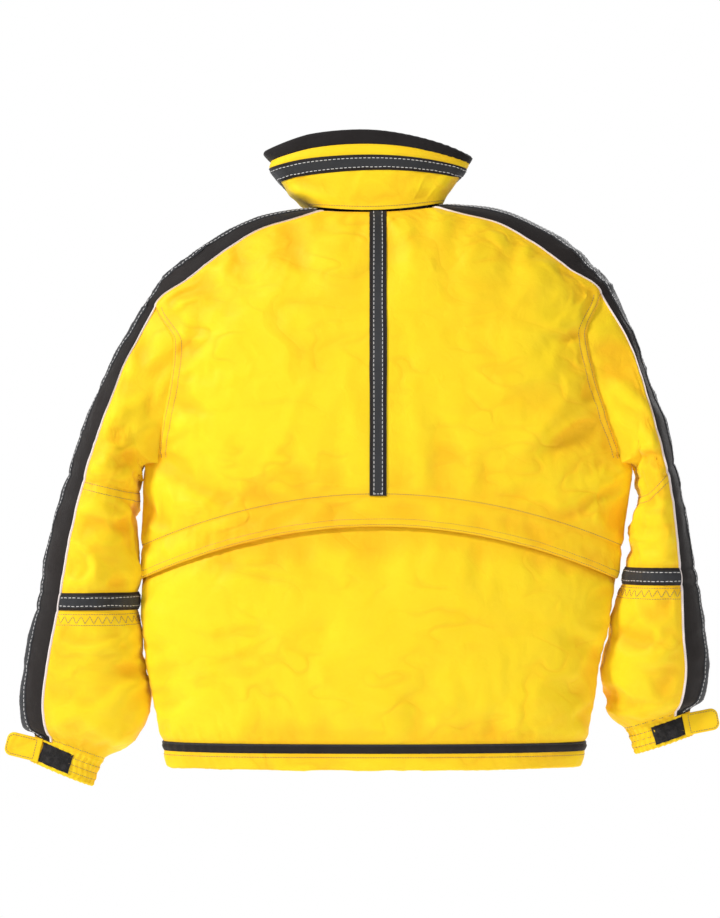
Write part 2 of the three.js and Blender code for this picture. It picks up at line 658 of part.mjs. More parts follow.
function armholePoint(side, c) {
  const [column, row, steps] = armholeCorner(side, c);
  const sign = side === 'left' ? -1 : 1;
  const low = (2 * steps) / SLEEVE_COLUMNS;
  const lift = low * low * UNDERARM_GAP - (1 - low) * ARMHOLE_GAP;
  const step = new THREE.Vector3(sign * ARMHOLE_GAP, 0, lift);
  return body.at(column, row).add(step);
}

function sleevePoint(side, c, r) {
  if (r === 0) {
    return armholePoint(side, c);
  }
  const [outerX, outerZ, innerX, innerZ, halfDepth, centreY] = SLEEVE_RINGS[side][r];
  const sign = side === 'left' ? -1 : 1;
  const half = Math.hypot(outerX - innerX, outerZ - innerZ) / 2;
  const behind = c <= SLEEVE_COLUMNS / 2;
  const steps = behind ? c : SLEEVE_COLUMNS - c;
  const flat = Math.max(1 - (PANEL_SHOWN * SLEEVE_PANEL_WIDTH) / half, PANEL_LEAST);
  const panelAngle = THREE.MathUtils.radToDeg(Math.acos(flat));
  const rest = SLEEVE_COLUMNS / 2 - SLEEVE_PANEL;
  const angle = steps <= SLEEVE_PANEL
    ? (panelAngle * steps) / SLEEVE_PANEL
    : panelAngle + ((180 - panelAngle) * (steps - SLEEVE_PANEL)) / rest;
  const turn = THREE.MathUtils.degToRad(angle);
  const along = Math.cos(turn);
  const x = (outerX + innerX) / 2 + ((outerX - innerX) / 2) * along;
  const z = (outerZ + innerZ) / 2 + ((outerZ - innerZ) / 2) * along;
  const y = centreY + (behind ? -1 : 1) * halfDepth * Math.sin(turn);
  return new THREE.Vector3(sign * x, y, z);
}

// The tab is sewn along the hinge line at the cuff's outer corner and stands out from it.
function cuffTab(side) {
  const sign = side === 'left' ? -1 : 1;
  const [outerX, outerZ, innerX, innerZ, halfDepth, centreY] = SLEEVE_RINGS[side][RING.cuff];
  const [endX, endZ] = SLEEVE_RINGS[side][RING.end];
  const half = Math.hypot(outerX - innerX, outerZ - innerZ) / 2;
  const down = new THREE.Vector3(sign * (endX - outerX), 0, endZ - outerZ);
  const width = down.length() - 2 * TAB_MARGIN;
  down.normalize();
  const out = new THREE.Vector3(-sign * down.z, 0, sign * down.x);
  const backAtHinge = centreY - halfDepth * Math.sqrt(1 - ((half - TAB_INSET) / half) ** 2);
  const hinge = new THREE.Vector3(sign * outerX, backAtHinge - REST_GAP - TAB_THICKNESS, outerZ);
  hinge.addScaledVector(out, -TAB_INSET).addScaledVector(down, TAB_MARGIN);
  const shape = new THREE.Shape();
  shape.moveTo(0, 0);
  shape.lineTo(TAB_LENGTH - TAB_ROUND, 0);
  shape.absarc(TAB_LENGTH - TAB_ROUND, TAB_ROUND, TAB_ROUND, -Math.PI / 2, 0, false);
  shape.absarc(TAB_LENGTH - TAB_ROUND, width - TAB_ROUND, TAB_ROUND, 0, Math.PI / 2, false);
  shape.lineTo(0, width);
  shape.closePath();
  const plate = { depth: TAB_THICKNESS, bevelEnabled: false, curveSegments: 5 };
  const geometry = new THREE.ExtrudeGeometry(shape, plate);
  const facing = new THREE.Vector3().crossVectors(out, down);
  if (facing.y < 0) {
    geometry.translate(0, 0, -TAB_THICKNESS);
  }
  const place = new THREE.Matrix4().makeBasis(out, down, facing).setPosition(hinge);
  return { geometry, place };
}

for (const side of ['left', 'right']) {
  const turn = side === 'left' ? 1 : -1;
  const rings = SLEEVE_RINGS[side].length;
  const shape = new Surface(SLEEVE_COLUMNS, rings, true, turn, (c, r) => sleevePoint(side, c, r));
  for (let c = 0; c < SLEEVE_COLUMNS; c += 1) {
    const [column, row] = armholeCorner(side, c);
    shape.normals[c][0].copy(body.normals[column][row]);
  }
  const shell = [-WALL, 0];
  const trim = [REST_GAP, REST_GAP + TRIM];
  const ribbonLayer = [RIBBON_GAP, RIBBON_GAP + TRIM];
  const wide = span(SLEEVE_PANEL, SLEEVE_COLUMNS - SLEEVE_PANEL);
  const panel = span(-SLEEVE_PANEL, SLEEVE_PANEL);
  const all = span(0, SLEEVE_COLUMNS - 1);
  const toCuff = span(0, RING.cuff);

  add(`upper_sleeve_${side}`, slab(shape, () => wide, span(0, RING.elbow), ...shell), YELLOW);
  add(`lower_sleeve_${side}`, slab(shape, () => wide, span(RING.elbow, RING.cuff), ...shell), YELLOW);
  add(`sleeve_panel_${side}`, slab(shape, () => panel, toCuff, ...shell), BLACK);

  const ribbon = (r) => RIBBON_EDGES.map((distance) => shape.walk(0, r, distance));
  add(`sleeve_ribbon_${side}`, slab(shape, ribbon, span(0, RING.cuff - 1), ...ribbonLayer), RIBBON);
  const edge = SLEEVE_PANEL;
  const piping = (r) => [shape.walk(edge, r, -PIPING / 2), edge, shape.walk(edge, r, PIPING / 2)];
  const cord = [RIBBON_GAP, RIBBON_GAP + PIPING / 2];
  add(`sleeve_piping_${side}`, slab(shape, piping, span(0, RING.cuff - 1), ...cord), WHITE);
  const beyond = (r) => [shape.walk(edge, r, PIPING), ...span(edge + 1, SLEEVE_COLUMNS - edge)];
  add(`forearm_band_${side}`, slab(shape, beyond, [RING.band, RING.bandEnd], ...trim), BLACK);
  const cuffRows = [RING.cuff, RING.end];
  add(`cuff_elastic_${side}`, slab(shape, () => all, cuffRows, ...shell, { around: true }), YELLOW);
  const liner = [-WALL - REST_GAP - LINING, -WALL - REST_GAP];
  const linerRows = span(1, RING.cuff - 1);
  const linerSlab = slab(shape, () => all, linerRows, ...liner, { around: true });
  add(`sleeve_lining_${side}`, linerSlab, LINING_CLOTH);

  const patchEnd = shape.walk(PATCH_START, RING.cuff, CUFF_PATCH_LENGTH);
  const patch = () => [PATCH_START, ...span(Math.ceil(PATCH_START), Math.floor(patchEnd)), patchEnd];
  const patchRows = [RING.cuff + PATCH_INSET, RING.end - PATCH_INSET];
  add(`cuff_patch_${side}`, slab(shape, patch, patchRows, ...trim), HOOK);
  const tab = cuffTab(side);
  add(`cuff_tab_${side}`, tab.geometry, YELLOW, tab.place);
}

export default jacket;
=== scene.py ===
import math

import bpy
import numpy as np
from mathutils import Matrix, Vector


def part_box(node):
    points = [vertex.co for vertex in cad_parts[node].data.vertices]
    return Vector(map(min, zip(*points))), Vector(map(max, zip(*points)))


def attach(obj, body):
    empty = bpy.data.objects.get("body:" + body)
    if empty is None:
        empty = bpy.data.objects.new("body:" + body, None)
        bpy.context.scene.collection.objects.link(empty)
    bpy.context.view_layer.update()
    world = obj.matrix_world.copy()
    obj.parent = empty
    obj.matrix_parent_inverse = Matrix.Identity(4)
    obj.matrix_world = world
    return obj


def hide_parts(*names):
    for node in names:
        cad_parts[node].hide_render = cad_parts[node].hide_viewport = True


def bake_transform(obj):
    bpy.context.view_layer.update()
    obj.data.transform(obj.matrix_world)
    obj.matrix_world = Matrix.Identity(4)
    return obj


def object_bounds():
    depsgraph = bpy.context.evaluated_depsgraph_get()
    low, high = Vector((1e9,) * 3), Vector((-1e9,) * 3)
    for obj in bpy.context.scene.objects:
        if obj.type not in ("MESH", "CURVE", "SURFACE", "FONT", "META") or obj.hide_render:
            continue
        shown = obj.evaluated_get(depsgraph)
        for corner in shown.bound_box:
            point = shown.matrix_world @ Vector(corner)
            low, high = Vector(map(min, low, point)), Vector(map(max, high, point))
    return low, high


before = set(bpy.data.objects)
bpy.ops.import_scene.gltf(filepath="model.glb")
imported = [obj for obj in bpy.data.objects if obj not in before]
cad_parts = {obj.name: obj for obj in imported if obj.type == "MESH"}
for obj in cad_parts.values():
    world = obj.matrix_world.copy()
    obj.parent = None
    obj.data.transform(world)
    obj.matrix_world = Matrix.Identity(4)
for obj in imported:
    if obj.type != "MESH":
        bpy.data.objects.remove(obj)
CAD_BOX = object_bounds()
MM = 0.001

# ---- Sizes of the cut pieces, in millimetres, as the CAD model has them ----

CENTRE_Y = 20
FRONT_DEPTH = 75
ROUNDNESS = 2.4
SWAY = 15
LEAN = 9
ZIP_HALF_GAP = 9
SLEEVE_PANEL_WIDTH = 42
SLEEVE_RIBBON_WIDTH = 21
SLEEVE_RIBBON_START = 4
BACK_BAND_WIDTH = 22
BACK_RIBBON_WIDTH = 14
CUFF_PATCH_LENGTH = 42
TAB_LENGTH = 46
TAB_ROUND = 9
TAB_INSET = 12
TAB_MARGIN = 1
POCKET_X = 170

# Body rows from neck to hem: side height, back height, front height, half width, back depth,
# and the angle from the side seam to the panel edge.
BODY_ROWS = [
    (8, 0, -60, 84, 42, 35),
    (3, -14, -66, 135, 50, 44),
    (-12, -30, -74, 185, 58, 38),
    (-42, -56, -86, 237, 66, 35),
    (-77, -86, -102, 278, 71, 31),
    (-115, -118, -122, 308, 75, 21),
    (-165, -165, -165, 335, 77, 40),
    (-215, -215, -215, 344, 78, 40),
    (-270, -270, -270, 335, 78, 33),
    (-327, -320, -327, 318, 77, 20),
    (-380, -345, -380, 315, 76, 20),
    (-436, -369, -436, 312, 75, 20),
    (-477, -408, -477, 309, 75, 20),
    (-530, -480, -530, 303, 75, 20),
    (-580, -555, -580, 296, 74, 20),
    (-640, -630, -640, 286, 73, 20),
    (-688, -688, -688, 278, 72, 20),
    (-700, -700, -700, 276, 72, 20),
    (-722, -722, -722, 270, 70, 20),
]
SHOULDER, UNDERARM, YOKE, FLAP, HEM_STRIPE, HEM_STRIP, HEM = 5, 9, 11, 12, 16, 17, 18

COLLAR_ROWS = [
    (9.2, 1, -59, 84, 42, 35),
    (28, 30, -35, 100, 44, 35),
    (44, 54, -12, 113, 45, 35),
    (55, 70, 4, 122, 46, 35),
    (66, 86, 20, 130, 47, 35),
    (67, 87.5, 21.5, 131, 47, 35),
    (76, 104, 40, 137, 48, 35),
]
BAND_LOW, BAND_TOP, FACING, COLLAR_TOP = 2, 3, 4, 6

# Sleeve rings from armhole to cuff: outer x, outer height, inner x, inner height, half depth,
# and centre y, with x counted outwards.
SLEEVE_RINGS = {
    "left": [
        (311, -124, 308, -334, 51, 20),
        (334, -172, 308, -338, 56, 20),
        (360, -225, 309, -344, 60, 20),
        (385, -285, 310, -352, 63, 20),
        (403, -342, 311, -364, 65, 20),
        (428, -430, 313, -430, 64, 21),
        (441, -494, 313, -494, 61, 23),
        (445, -517, 313, -517, 60, 24),
        (457, -575, 307, -580, 58, 27),
        (465, -640, 295, -640, 53, 31),
        (462, -668, 312, -684, 42, 33),
        (447, -682, 360, -716, 24, 34),
        (455, -714, 372, -748, 23, 34),
    ],
    "right": [
        (309, -106, 341, -336, 51, 20),
        (330, -154, 341, -341, 56, 20),
        (348, -203, 341, -346, 60, 20),
        (365, -253, 341, -354, 63, 20),
        (386, -326, 341, -370, 65, 20),
        (401, -398, 331, -416, 64, 21),
        (413, -463, 323, -463, 61, 23),
        (417, -483, 320, -483, 60, 24),
        (425, -545, 306, -545, 58, 27),
        (430, -595, 294, -600, 53, 31),
        (424, -634, 300, -650, 42, 33),
        (407, -650, 326, -676, 24, 34),
        (413, -680, 336, -706, 23, 34),
    ],
}
ELBOW, FOREARM, FOREARM_END, CUFF, CUFF_END = 4, 6, 7, 11, 12
SIDES = ("left", "right")
SIGN = {"left": -1, "right": 1}

# Columns run round the body from the zip's left edge over the left side to the back.
COLUMNS = 28
SIDE = {"left": 7, "right": 21}
BACK_EDGE = {"left": 9, "right": 19}
FRONT_EDGE = {"left": 5, "right": 23}
SLEEVE_COLUMNS = 16

SHELL = 6.5          # shell cloth with its padding
LINING_DEPTH = 10.5  # from the shell's outer face down to the lining
STITCH_PITCH = 5.6


# ---- Fine curved surfaces ----


def smooth_rows(t, y, q):
    """Values y at t, joined by curves that never overshoot, read at q."""
    h = np.diff(t)
    d = np.diff(y, axis=0) / h[:, None, None]
    slope = np.zeros_like(y)
    w1 = (2 * h[1:] + h[:-1])[:, None, None]
    w2 = (h[1:] + 2 * h[:-1])[:, None, None]
    with np.errstate(all="ignore"):
        mean = (w1 + w2) / (w1 / d[:-1] + w2 / d[1:])
    slope[1:-1] = np.where(d[:-1] * d[1:] > 0, mean, 0)
    slope[0], slope[-1] = d[0], d[-1]
    k = np.clip(np.searchsorted(t, q, side="right") - 1, 0, len(h) - 1)
    gap = h[k][:, None, None]
    s = ((q - t[k]) / h[k])[:, None, None]
    a = (2 * s**3 - 3 * s**2 + 1) * y[k] + (s**3 - 2 * s**2 + s) * gap * slope[k]
    b = (3 * s**2 - 2 * s**3) * y[k + 1] + (s**3 - s**2) * gap * slope[k + 1]
    return a + b


def unit(v):
    return v / np.maximum(np.linalg.norm(v, axis=-1, keepdims=True), 1e-9)


def ease(x):
    x = np.clip(x, 0, 1)
    return x * x * (3 - 2 * x)


class Surface:
    """Fine points over a curved piece. Rows r and columns c are counted as in the CAD model."""

    def __init__(self, base, cells, step, closed, turn):
        self.cells, self.closed, self.turn = cells, closed, turn
        gaps = np.linalg.norm(np.diff(base, axis=0), axis=2).mean(axis=1)
        t = np.concatenate([[0], np.cumsum(gaps)])
        fine, marks = [], [0]
        for start, gap in zip(t, gaps):
            n = max(2, math.ceil(gap / step))
            fine += list(start + gap * np.arange(n) / n)
            marks.append(len(fine))
        fine.append(t[-1])
        self.marks = np.array(marks)
        self.points = smooth_rows(t, base, np.array(fine))
        self.cut = self.points
        self.shift = np.zeros(self.points.shape[:2])
        self.measure()
        self.down, self.across = self.arcs()

    def measure(self):
        p = self.points
        dr = np.gradient(p, axis=0)
        if self.closed:
            dc = np.roll(p, -1, axis=1) - np.roll(p, 1, axis=1)
        else:
            dc = np.gradient(p, axis=1)
        self.normals = unit(np.cross(dr, dc)) * self.turn

    def arcs(self):
        """How far each point is from the first row, and from the first column."""
        p = self.points
        down = np.zeros(p.shape[:2])
        down[1:] = np.cumsum(np.linalg.norm(np.diff(p, axis=0), axis=2), axis=0)
        ring = np.concatenate([p, p[:, :1]], axis=1) if self.closed else p
        across = np.zeros(ring.shape[:2])
        across[:, 1:] = np.cumsum(np.linalg.norm(np.diff(ring, axis=1), axis=2), axis=1)
        return down, across

    def row(self, r):
        return np.interp(r, np.arange(len(self.marks)), self.marks)

    def read(self, field, r, c, fine=False):
        """The field at rows r and columns c."""
        i = np.asarray(r, float) if fine else self.row(r)
        j = np.asarray(c, float) if fine else np.asarray(c, float) * self.cells
        i, j = np.broadcast_arrays(i, j)
        i = np.clip(i, 0, field.shape[0] - 1)
        i0 = np.minimum(np.floor(i).astype(int), field.shape[0] - 2)
        wide = field.shape[1]
        if self.closed and wide == self.points.shape[1]:
            j0 = np.floor(j).astype(int)
            j1, at = (j0 + 1) % wide, j0 % wide
        else:
            j = np.clip(j, 0, wide - 1)
            j0 = np.minimum(np.floor(j).astype(int), wide - 2)
            j1, at = j0 + 1, j0
        a, b = i - i0, j - j0
        if field.ndim == 3:
            a, b = a[..., None], b[..., None]
        low = field[i0, at] * (1 - b) + field[i0, j1] * b
        high = field[i0 + 1, at] * (1 - b) + field[i0 + 1, j1] * b
        return low * (1 - a) + high * a

    def at(self, r, c, height=0.0):
        h = np.asarray(height, float)
        return self.read(self.points, r, c) + self.read(self.normals, r, c) * h[..., None]

    def walk_across(self, r, c, offset):
        """The column that lies offset millimetres from column c along row r."""
        r, c, offset = np.broadcast_arrays(np.asarray(r, float), c, offset)
        out = np.empty(r.shape)
        index = np.arange(self.across.shape[1]) / self.cells
        ring = self.across[:, -1]
        for k in np.ndindex(r.shape):
            i = int(round(float(self.row(r[k]))))
            arc = self.across[i]
            here = np.interp(c[k] % SLEEVE_COLUMNS if self.closed else c[k], index, arc)
            want = here + offset[k]
            turns = 0
            if self.closed:
                turns = math.floor(want / ring[i])
                want -= turns * ring[i]
            out[k] = np.interp(want, arc, index) + turns * SLEEVE_COLUMNS
        return out

    def walk_down(self, r, c, offset):
        """The row that lies offset millimetres below row r along column c."""
        r, c, offset = np.broadcast_arrays(np.asarray(r, float), c, offset)
        out = np.empty(r.shape)
        index = np.interp(np.arange(self.down.shape[0]), self.marks, np.arange(len(self.marks)))
        wide = self.points.shape[1]
        for k in np.ndindex(r.shape):
            j = int(round(float(c[k]) * self.cells))
            j = j % wide if self.closed else min(max(j, 0), wide - 1)
            arc = self.down[:, j]
            out[k] = np.interp(np.interp(r[k], index, arc) + offset[k], arc, index)
        return out

    def from_row(self, r):
        i = int(self.marks[r])
        return np.abs(self.down - self.down[i])

    def from_column(self, c):
        j = int(c * self.cells)
        if not self.closed:
            return np.abs(self.across - self.across[:, j : j + 1])
        ring = self.across[:, -1:]
        d = np.abs(self.across[:, :-1] - self.across[:, j : j + 1])
        return np.minimum(d, ring - d)

    def push(self, height):
        """Moves each point along its normal."""
        self.points = self.points + self.normals * height[..., None]
        self.shift = self.shift + height
        self.measure()

    def grid(self):
        """The CAD row and column of every fine point."""
        r = np.interp(np.arange(self.points.shape[0]), self.marks, np.arange(len(self.marks)))
        c = np.arange(self.points.shape[1]) / self.cells
        return np.meshgrid(r, c, indexing="ij")


def body_points(rows, c):
    rows = np.array(rows, float)[:, :, None]
    side_z, back_z, front_z, half, depth, panel = (rows[:, k] for k in range(6))
    left = c < COLUMNS / 2
    steps = np.abs(c - np.where(left, SIDE["left"], SIDE["right"]))
    back = (c >= SIDE["left"]) & (c <= SIDE["right"])
    last = np.where(back, 90, np.degrees(np.arccos((ZIP_HALF_GAP / half) ** (ROUNDNESS / 2))))
    angle = np.where(steps <= 2, panel * steps / 2, panel + (last - panel) * (steps - 2) / 5)
    angle = np.radians(angle)
    share = np.abs(np.cos(angle)) ** (2 / ROUNDNESS)
    reach = np.abs(np.sin(angle)) ** (2 / ROUNDNESS)
    low_sway = (SWAY + 5) * np.clip((side_z + 545) / 220, 0, 1) - 5
    high_sway = SWAY * np.clip(-(side_z + 115) / 210, 0, 1)
    sway = np.where(side_z > -325, high_sway, low_sway)
    x = np.where(left, -share, share) * half + sway * share
    y = CENTRE_Y + reach * np.where(back, -depth, FRONT_DEPTH)
    middle = np.where(back, back_z, front_z)
    fade = np.clip((side_z + 327) / 212, 0, 1)
    z = side_z + (middle - side_z) * (1 - share**2) + LEAN * fade * x / 308
    return np.stack([x, y, z], axis=-1)


def body_surface(rows, turn, cells, step):
    c = np.arange(COLUMNS * cells + 1) / cells
    return Surface(body_points(rows, c), cells, step, False, turn)


def under_sleeve(c):
    """Whether columns of the body are ones that an armhole cuts away above the underarm."""
    half = BACK_EDGE["left"] - SIDE["left"]
    return np.minimum(np.abs(c - SIDE["left"]), np.abs(c - SIDE["right"])) < half


def armhole(side, c):
    """Row and column on the body of the armhole seam at sleeve column c."""
    c = np.asarray(c, float) % SLEEVE_COLUMNS
    behind = c <= SLEEVE_COLUMNS / 2
    steps = np.where(behind, c, SLEEVE_COLUMNS - c)
    towards = np.where((side == "left") == behind, 1, -1)
    off = np.minimum(np.minimum(steps, SLEEVE_COLUMNS / 2 - steps), 2)
    return np.clip(SHOULDER + steps - 2, SHOULDER, UNDERARM), SIDE[side] + towards * off


def sleeve_surface(side, body, cells, step):
    c = np.arange(SLEEVE_COLUMNS * cells) / cells
    rings = np.array(SLEEVE_RINGS[side], float)[:, :, None]
    ox, oz, ix, iz, deep, cy = (rings[:, k] for k in range(6))
    half = np.hypot(ox - ix, oz - iz) / 2
    behind = c <= SLEEVE_COLUMNS / 2
    steps = np.where(behind, c, SLEEVE_COLUMNS - c)
    panel = np.degrees(np.arccos(np.maximum(1 - 0.72 * SLEEVE_PANEL_WIDTH / half, 0.5)))
    angle = np.where(steps <= 2, panel * steps / 2, panel + (180 - panel) * (steps - 2) / 6)
    angle = np.radians(angle)
    x = (ox + ix) / 2 + (ox - ix) / 2 * np.cos(angle)
    z = (oz + iz) / 2 + (oz - iz) / 2 * np.cos(angle)
    y = cy + np.where(behind, -1, 1) * deep * np.sin(angle)
    base = np.stack([SIGN[side] * x, y, z], axis=-1)
    base[0] = body.at(*armhole(side, c))
    turn = 1 if side == "left" else -1
    return Surface(base, cells, step, True, turn)

# ---- Folds, puckers and seams pressed into the surfaces ----


def waves(p, size, seed, count=16):
    """A smooth wandering height over points p, about size millimetres from crest to crest."""
    rng = np.random.default_rng(seed)
    total = np.zeros(p.shape[:-1])
    for _ in range(count):
        k = unit(rng.normal(size=3)) * 2 * np.pi / size * rng.uniform(0.6, 1.5)
        total += np.sin(p @ k + rng.uniform(0, 2 * np.pi))
    return total / math.sqrt(count / 2)


def creases(p, size, seed):
    """Narrow rounded ridges that wander and branch, as in crumpled cloth."""
    bent = p + np.stack([waves(p, size * 1.7, seed + k) * size * 0.18 for k in (1, 2, 3)], axis=-1)
    return np.exp(-((waves(bent, size, seed + 4) / 0.42) ** 2))


def fold(p, ends, width, depth, bow=0.0):
    """A ridge with a hollow beside it, from one point to another, seen from behind."""
    ax, az, bx, bz = ends
    length = math.hypot(bx - ax, bz - az)
    tx, tz = (bx - ax) / length, (bz - az) / length
    x, z = p[..., 0] - ax, p[..., 2] - az
    u = (x * tx + z * tz) / length
    v = x * -tz + z * tx - bow * 4 * u * (1 - u)
    along = ease((u + 0.15) / 0.4) * ease((1.15 - u) / 0.5)
    s = v / (width * (0.8 + 0.5 * np.clip(u, 0, 1)))
    return depth * along * (np.exp(-(s**2)) - 0.75 * np.exp(-(((s - 1.7) / 1.1) ** 2)))


def between(x, low, high, soft):
    """1 from low to high, and smoothly 0 outside."""
    return ease((x - low) / soft + 1) * ease((high - x) / soft + 1)


def press_seam(distance, along, where, depth=2.2, width=4.5, pucker=0.7, pitch=13):
    """A seam pulled in, with small puckers that die away beside it."""
    dip = -depth * np.exp(-((distance / width) ** 2))
    ripple = np.sin(2 * np.pi * along / pitch + 1.3 * np.sin(along / 31)) * np.exp(-distance / 14)
    ripple *= 0.6 + 0.4 * np.sin(along / 53)
    return where * (dip + pucker * ripple * (1 - np.exp(-((distance / 4) ** 2))))


SIM_FRAMES = 20
SIM_STEP = {False: 3, True: 2}  # of the fine grid's lines, for an open and a closed surface
SWELL_CAP, SWELL_SOFT, SWELL_ROUNDS = 3.0, 20, 30  # for the broad swelling of a panel
SIM_CAP = 6.0                   # for the wrinkles in it
CLOTH_SETTINGS = {
    "quality": 6, "mass": 0.3, "tension_stiffness": 12, "compression_stiffness": 12, "shear_stiffness": 4,
    "bending_stiffness": 0.4, "vertex_group_mass": "pins", "use_pressure": True,
    "uniform_pressure_force": 4,
}


def blur(field, rounds, around):
    """The field smoothed along its rows and columns."""
    for _ in range(rounds):
        beside = np.pad(field, ((0, 0), (1, 1)), mode="wrap" if around else "edge")
        field = (beside[:, :-2] + 2 * field + beside[:, 2:]) / 4
        tall = np.pad(field, ((1, 1), (0, 0)), mode="edge")
        field = (tall[:-2] + 2 * field + tall[2:]) / 4
    return field


def inflate(surface, seam_distance, grow):
    """How far the padded cloth lifts and wrinkles between its seams, from a cloth simulation."""
    n, m = surface.points.shape[:2]
    i = np.unique(np.concatenate([np.arange(0, n, SIM_STEP[surface.closed]), surface.marks]))
    j = np.arange(0, m, SIM_STEP[surface.closed])
    start = surface.points[np.ix_(i, j)]
    index = np.arange(len(i) * len(j)).reshape(len(i), len(j))
    if surface.closed:
        index = np.concatenate([index, index[:, :1]], axis=1)
    ring = [index[:-1, :-1], index[1:, :-1], index[1:, 1:], index[:-1, 1:]][:: surface.turn]
    faces = np.stack([v.ravel() for v in ring], axis=1)
    mesh = bpy.data.meshes.new("cloth_trial")
    mesh.from_pydata((start.reshape(-1, 3) * MM).tolist(), [], faces.tolist())
    cloth_object = bpy.data.objects.new("cloth_trial", mesh)
    bpy.context.scene.collection.objects.link(cloth_object)
    pins = cloth_object.vertex_groups.new(name="pins")
    weights = np.clip(1.3 - seam_distance[np.ix_(i, j)].ravel() / 8, 0, 1)
    for level in range(1, 11):
        at_level = np.nonzero(np.round(weights * 10) == level)[0]
        pins.add(at_level.tolist(), level / 10, "REPLACE")
    modifier = cloth_object.modifiers.new("Cloth", "CLOTH")
    for key, value in CLOTH_SETTINGS.items():
        setattr(modifier.settings, key, value)
    modifier.settings.shrink_min = -grow
    modifier.settings.effector_weights.gravity = 0
    modifier.point_cache.frame_start = 1
    modifier.point_cache.frame_end = SIM_FRAMES
    for number in range(1, SIM_FRAMES + 1):
        bpy.context.scene.frame_set(number)
    result = cloth_object.evaluated_get(bpy.context.evaluated_depsgraph_get()).data
    moved = np.empty(len(mesh.vertices) * 3)
    result.vertices.foreach_get("co", moved)
    moved = moved.reshape(start.shape) / MM - start
    bpy.data.objects.remove(cloth_object)
    bpy.context.scene.frame_set(1)
    lift = np.einsum("ijk,ijk->ij", moved, surface.normals[np.ix_(i, j)])
    broad = blur(lift, SWELL_ROUNDS, surface.closed)
    lift = SWELL_CAP * np.tanh(broad / SWELL_SOFT) + SIM_CAP * np.tanh((lift - broad) / SIM_CAP)
    if surface.closed:
        j, lift = np.append(j, m), np.concatenate([lift, lift[:, :1]], axis=1)
    wide = np.array([np.interp(np.arange(m), j, row) for row in lift])
    full = np.array([np.interp(np.arange(n), i, column) for column in wide.T]).T
    return blur(full, 2, surface.closed) * ease(seam_distance / 14)


BACK_FOLDS = [
    ((-272, -130, -205, -112), 7, 3.2, 4),
    ((-272, -152, -195, -172), 9, 2.6, -5),
    ((-268, -218, -178, -182), 12, 2.6, 8),
    ((-268, -268, -165, -336), 15, 3.4, 10),
    ((-300, -330, -190, -398), 14, 2.4, -8),
    ((274, -140, 196, -172), 10, 2.8, -6),
    ((278, -183, 208, -270), 13, 2.8, 10),
    ((292, -250, 180, -312), 14, 3.4, -10),
    ((312, -335, 208, -376), 13, 2.4, 6),
    ((302, -488, 232, -608), 14, 3.4, 14),
    ((290, -552, 150, -500), 15, 2.4, -12),
    ((262, -684, 130, -630), 15, 2.2, 8),
    ((-292, -500, -228, -610), 14, 2.4, -10),
    ((-262, -690, -140, -640), 14, 1.8, -8),
    ((60, -520, 150, -640), 18, 1.8, 10),
    ((-60, -500, -170, -560), 18, 1.6, 8),
]


